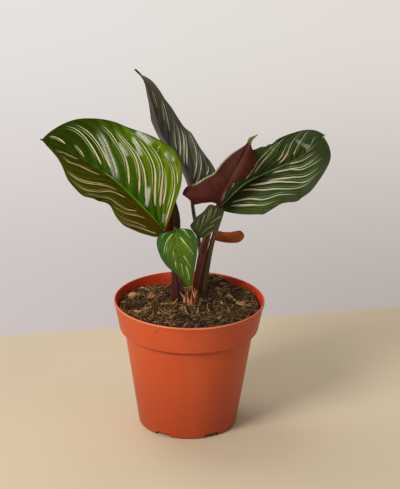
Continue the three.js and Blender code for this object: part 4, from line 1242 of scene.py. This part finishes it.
def make_soil():
    """The rough top, finer towards the rim, and a plain skirt down to the pot's floor."""
    share = np.linspace(0, 1, SOIL_RINGS + 1)[1:] ** 0.75
    turn = np.linspace(0, TURN, SOIL_SEGMENTS, endpoint=False)
    x = (share[:, None] * SOIL_EDGE * np.cos(turn)).ravel()
    y = (share[:, None] * SOIL_EDGE * np.sin(turn)).ravel()
    rise = crumbs(list(zip(x, y)))
    calm = np.repeat(1 - 0.5 * smooth_step(0.95, 1, share), SOIL_SEGMENTS)
    top = np.stack([x, y, soil_height(x, y) + rise * calm], -1)
    skirt = []
    for radius, height in ((BODY_TOP_RADIUS, SOIL_SHOULDER), (BASE_RADIUS, SOIL_FOOT)):
        inset = radius - SOIL_GAP
        skirt += [(inset * math.cos(a), inset * math.sin(a), height) for a in turn]
    middle = [(0, 0, float(soil_height(0, 0))), (0, 0, SOIL_FOOT)]
    points = np.concatenate([top, np.array(skirt), np.array(middle)])
    faces = [list(q) for q in grid_faces(SOIL_RINGS, SOIL_SEGMENTS, closed=True)]
    edge = (SOIL_RINGS - 1) * SOIL_SEGMENTS
    shoulder = edge + SOIL_SEGMENTS
    foot = shoulder + SOIL_SEGMENTS
    for i in range(SOIL_SEGMENTS):
        j = (i + 1) % SOIL_SEGMENTS
        faces.append([len(points) - 2, i, j])
        faces.append([edge + i, shoulder + i, shoulder + j, edge + j])
        faces.append([shoulder + i, foot + i, foot + j, shoulder + j])
        faces.append([foot + j, foot + i, len(points) - 1])
    make_piece("soil_heap", points, faces, [soil_look()], ("potting_soil",))


def scatter(rng, count, edge):
    """Even random places on the soil."""
    radius = edge * np.sqrt(rng.random(count))
    turn = TURN * rng.random(count)
    return radius * np.cos(turn), radius * np.sin(turn)


def make_fibres():
    """Thousands of bent plant fibres lying over the soil."""
    rng = np.random.default_rng(7)
    steps, sides = 4, 3
    x, y = scatter(rng, FIBRE_COUNT, FIBRE_EDGE)
    length = rng.gamma(3.0, 1.5, FIBRE_COUNT) + 2
    radius = rng.uniform(0.09, 0.3, FIBRE_COUNT) * np.clip(length / 5, 0.6, 1.3)
    heading = TURN * rng.random(FIBRE_COUNT)
    bend = rng.normal(0, 0.9, FIBRE_COUNT)
    pitch = rng.normal(0.02, 0.22, FIBRE_COUNT)
    t = np.linspace(-0.5, 0.5, steps + 1)

    # The middle line of each, kept inside the rim
    angle = heading[:, None] + bend[:, None] * t[None]
    step = length[:, None] / steps
    run_x = np.cumsum(np.cos(angle) * step, 1)
    run_y = np.cumsum(np.sin(angle) * step, 1)
    line_x = x[:, None] + run_x - run_x.mean(1, keepdims=True)
    line_y = y[:, None] + run_y - run_y.mean(1, keepdims=True)
    squeeze = np.minimum(1, FIBRE_REACH / np.maximum(np.hypot(line_x, line_y), 1e-6))
    line_x *= squeeze
    line_y *= squeeze
    rise = crumbs(list(zip(x, y)))[:, None]
    slope = np.abs(np.sin(pitch))[:, None] * length[:, None]
    lift = 0.35 + rise + slope * (t[None] * np.sign(pitch)[:, None] + 0.5)
    line = np.stack([line_x, line_y, soil_height(line_x, line_y) + lift], -1)

    # Three-sided skins, a little flat, and the faces of the ends
    forward = unit(np.gradient(line, axis=1))
    sideways = unit(np.cross(forward, [0.0, 0.0, 1.0]))
    upward = np.cross(sideways, forward)
    taper = radius[:, None] * (1 - 0.75 * np.abs(2 * t)[None] ** 2)
    turn = np.linspace(0, TURN, sides, endpoint=False)[None, None, :, None]
    around = np.cos(turn) * sideways[:, :, None] + 0.7 * np.sin(turn) * upward[:, :, None]
    points = (line[:, :, None] + taper[:, :, None, None] * around).reshape(-1, 3)
    one = grid_faces(steps + 1, sides, closed=True)
    each = (steps + 1) * sides
    faces = (one[None] + (np.arange(FIBRE_COUNT) * each)[:, None, None]).reshape(-1, 4).tolist()
    for start in range(0, FIBRE_COUNT * each, each):
        faces.append([start + 2, start + 1, start])
        faces.append([start + each - 3, start + each - 2, start + each - 1])
    tone = np.repeat(np.clip(rng.gamma(2.0, 0.2, FIBRE_COUNT), 0, 1), each)
    look = litter_look("soil_fibre", srgb(38, 24, 12), srgb(112, 82, 40), srgb(196, 164, 100))
    make_piece("soil_fibres", points, faces, [look], painted={"tone": tone})


def chip(rng, size, rough, finer):
    """Points and faces of one rough flake about the origin."""
    points, faces = BALLS[finer]
    seed = rng.uniform(0, 90)
    bumps = np.array([noise.noise(Vector(p) * 1.7 + Vector((seed, 0, 0))) for p in points])
    small = np.array([noise.noise(Vector(p) * 4.5 + Vector((0, seed, 0))) for p in points])
    shape = points * (1 + rough * 1.6 * bumps + rough * 0.7 * small)[:, None]
    return shape * np.array(size) / 2, faces


def ball(finer):
    """Points and faces of a ball of near equal triangles, one across each way from the middle."""
    mesh = bmesh.new()
    bmesh.ops.create_icosphere(mesh, subdivisions=finer, radius=1)
    points = np.array([tuple(v.co) for v in mesh.verts])
    faces = np.array([[v.index for v in f.verts] for f in mesh.faces])
    mesh.free()
    return points, faces


BALLS = {finer: ball(finer) for finer in (1, 2, 3)}


def turned(points, rng):
    """The points turned about a random upright axis and tilted a little."""
    matrix = Matrix.Rotation(TURN * rng.random(), 3, "Z")
    for axis in "XY":
        matrix = matrix @ Matrix.Rotation(rng.normal(0, CRUMB_TILT), 3, axis)
    return points @ np.array(matrix).T


def make_crumbs():
    """Loose crumbs of bark and peat on the soil."""
    rng = np.random.default_rng(21)
    x, y = scatter(rng, CRUMB_COUNT, CRUMB_EDGE)
    rise = crumbs(list(zip(x, y)))
    bits = []
    for i in range(CRUMB_COUNT):
        big = 0.8 + rng.gamma(2.0, 0.6)
        size = (big * rng.uniform(1.0, 1.9), big * rng.uniform(0.6, 1.0), big * rng.uniform(0.35, 0.7))
        shape, triangles = chip(rng, size, 0.42, 2 if big > 2.4 else 1)
        shape = turned(shape, rng)
        centre = np.array([x[i], y[i], float(soil_height(x[i], y[i])) + rise[i] + 0.25 * size[2]])
        tone = np.clip(rng.gamma(1.7, 0.2), 0, 1)
        bits.append((shape + centre, triangles, np.full(len(shape), tone)))
    look = litter_look("soil_crumb", srgb(30, 17, 8), srgb(104, 64, 34), srgb(178, 130, 80))
    points, faces, painted = joined(bits)
    make_piece("soil_crumbs", points, faces, [look], painted=painted)


# Place, size, turn and tilt in degrees, slot and tone
CHIPS = {
    "round_bark_chip": ((-30, 17), (7, 6, 4), 20, 30, "bark", 0.62),
    "pink_bark_chip": ((-45, 22), (11, 5, 3), 25, 10, "bark", 0.8),
    "middle_bark_chip": ((-21, 19), (5, 3, 2.4), -20, 0, "bark", 0.75),
    "front_bark_chip": ((-16, -38), (7, 5, 3), -10, 0, "bark", 0.45),
    "dark_bark_chip": ((-20, -23), (8, 5, 3), -50, 0, "bark", 0.3),
    "back_bark_chip": ((27, 38), (6, 4, 3), 30, 0, "bark", 0.5),
    "pale_chip": ((32, 17), (6, 3, 2.4), -35, 0, "dry_straw", 0.85),
    "pale_flake": ((-5, -9), (6, 3, 2), 0, 0, "dry_straw", 0.7),
    "perlite_right": ((26, 4), (2.4, 2.4, 2.2), 0, 0, "dry_straw", 1.3),
    "perlite_front": ((-14, -27), (2.4, 2.2, 2.2), 0, 0, "dry_straw", 1.3),
}

# Places with their height above the soil, radii, and tone
TWIGS = {
    "pale_twig": ([[-41, 36, 0.6], [-37, 35, 1.4], [-32, 32, 0.8]], [0.6, 0.8, 1.2], 0.95),
    "root_tuft": ([[-22, -1, 0.8], [-17, -2, 1.6], [-12.5, -1, 1.2], [-9.5, 0, 4.5]],
                  [1, 1.8, 1.5, 0.6], 0.6),
    "left_husk": ([[-44, -11, 0.8], [-39, -15, 0.6], [-34, -12, 1.6], [-31, -4, 0.8]],
                  [0.8, 1.1, 1, 0.6], 0.8),
    "right_twig": ([[36, 12, 0.8], [39, 4, 1.8], [44, 1, 1.2], [50, 2, 0.9]], [0.7, 1, 1.3, 0.9], 0.8),
    "green_husk": ([[35, 1, 0.6], [34.5, -8, 1.6], [33, -18, 0.8]], [0.7, 1.3, 0.8], 0.35),
    "long_straw": ([[9, 10, 0.9], [8, -4, 1.3], [6, -19, 0.6]], [0.6, 0.7, 0.6], 0.85),
}


def make_litter():
    """The larger bits in the soil: bark chips, perlite, twigs, straws and husks."""
    bark = litter_look("bark", srgb(70, 36, 24), srgb(150, 84, 52), srgb(206, 146, 110))
    straw = litter_look("dry_straw", srgb(84, 56, 28), srgb(150, 112, 62), srgb(208, 176, 122))
    rng = np.random.default_rng(5)
    for name, ((x, y), size, turn, tilt, slot, tone) in CHIPS.items():
        shape, faces = chip(rng, size, 0.4, 3)
        turning = Matrix.Rotation(math.radians(turn), 3, "Z") @ Matrix.Rotation(math.radians(tilt), 3, "X")
        centre = np.array([x, y, float(soil_height(x, y)) + 0.3 * size[2]])
        points = shape @ np.array(turning).T + centre
        look = bark if slot == "bark" else straw
        make_piece(name + "_skin", points, faces.tolist(), [look], (name,),
                   painted={"tone": np.full(len(points), tone)})
    for name, (path, radii, tone) in TWIGS.items():
        phase = rng.uniform(0, TURN)

        def section(t, turn, phase=phase):
            flat = 0.16 * np.cos(2 * turn + 4 * t) + 0.07 * np.cos(5 * turn + 9 * t)
            return 1 + 0.18 * np.sin(9 * t + phase) + flat

        line = np.array([[x, y, float(soil_height(x, y)) + rise + 0.2] for x, y, rise in path])
        bits = []
        for strand in range(STRANDS):
            thin = rng.uniform(0.2, 0.5)
            shift = rng.normal(0, 0.9, line.shape) * (strand > 0) * np.array([1, 1, 0.4])
            skin, quads, share, _ = tube(line + shift, np.array(radii) * thin, 8, 24, section)
            bits.append((skin, quads, tone * rng.uniform(0.6, 1.1) + 0.1 * np.sin(9 * share)))
        points, faces, painted = joined(bits)
        make_piece(name + "_skin", points, faces, [straw], (name,), painted=painted)


# Table, wall and light

TABLE_EDGE_LEFT = (-165.1, 162.3)
TABLE_EDGE_RIGHT = (188.8, 242.2)
TABLE_REACH = 1400
TABLE_SOFTNESS = 5


def make_table():
    """A finite pale floor that ends in a soft edge at the photograph's table edge."""
    look = Look("pale_table")
    where = look.place()
    x, y, _ = look.parts(where)
    run = Vector(TABLE_EDGE_RIGHT) - Vector(TABLE_EDGE_LEFT)
    out = Vector((-run.y, run.x)).normalized()
    start = Vector(TABLE_EDGE_LEFT).dot(out)
    past = (x * out.x + y * out.y) * (1 / MM) - start
    tone = look.noise(where, 3, 2)
    colour = look.mix(look.step(0.3, 0.7, tone), srgb(214, 198, 172), srgb(208, 192, 165))
    cover = look.step(TABLE_SOFTNESS, -TABLE_SOFTNESS, past)
    look.finish(colour, 0.8, alpha=cover, specular_ior_level=0.15)
    reach = TABLE_REACH * MM
    mesh = bpy.data.meshes.new("table")
    mesh.from_pydata([(-reach, -reach, 0), (reach, -reach, 0), (reach, reach, 0), (-reach, reach, 0)], [],
                     [(0, 1, 2, 3)])
    mesh.materials.append(look.material)
    table = bpy.data.objects.new("table", mesh)
    scene.collection.objects.link(table)


def set_world():
    """The wall behind, brightest at its upper left, and a soft light all round."""
    world = bpy.data.worlds.new("studio")
    scene.world = world
    world.use_nodes = True
    look = Look("studio", world)
    x, y, z = look.parts(look.node("TexCoord"))
    right = look.step(-0.09, 0.09, x)
    low = look.step(-0.27, -0.4, z)
    top_tone = look.mix(right, srgb(231, 226, 222), srgb(226, 219, 213))
    low_tone = look.mix(right, srgb(204, 194, 192), srgb(180, 171, 166))
    wall = look.node("Background", sockets={"Color": look.mix(low, top_tone, low_tone)})
    side = look.step(-0.6, 1.0, z + y * 0.3 - x * 0.3)
    sky = look.mix(side, (0.4, 0.37, 0.33, 1), (1.6, 1.57, 1.5, 1))
    glow = look.node("Background", sockets={"Color": sky, "Strength": GLOW})
    seen = look.node("LightPath")
    both = look.node("MixShader", sockets={0: seen, 1: glow, 2: wall})
    look.node("OutputWorld", sockets={0: both})


def add_light(name, place, aim, size, power, colour):
    """A rectangular soft light that the camera doesn't see. Size is its width and height."""
    data = bpy.data.lights.new(name, "AREA")
    data.shape = "RECTANGLE"
    data.size, data.size_y = (side * MM for side in size)
    data.energy = power
    data.color = colour
    light = bpy.data.objects.new(name, data)
    scene.collection.objects.link(light)
    light.location = Vector(place) * MM
    light.rotation_euler = (Vector(aim) - Vector(place)).to_track_quat("-Z", "Y").to_euler()
    light.visible_camera = False
    return light


def set_lights():
    add_light("window", (-1130, -1240, 1270), (0, 0, 120), (700, 700), 30, (1.0, 0.97, 0.93))
    add_light("sky_panel", (-500, 500, 1300), (0, 0, 180), (700, 700), 5, (1.0, 0.97, 0.92))
    card = add_light("shine_card", (186, -450, 205), (-60, -15, 205), (150, 380), 1.9, (1.0, 0.97, 0.88))
    card.visible_diffuse = False


set_camera()
make_leaves()
make_stalks()
make_sheath()
make_pot()
make_soil()
make_fibres()
make_crumbs()
make_litter()
make_table()
set_world()
set_lights()
scene.view_settings.view_transform = "Standard"
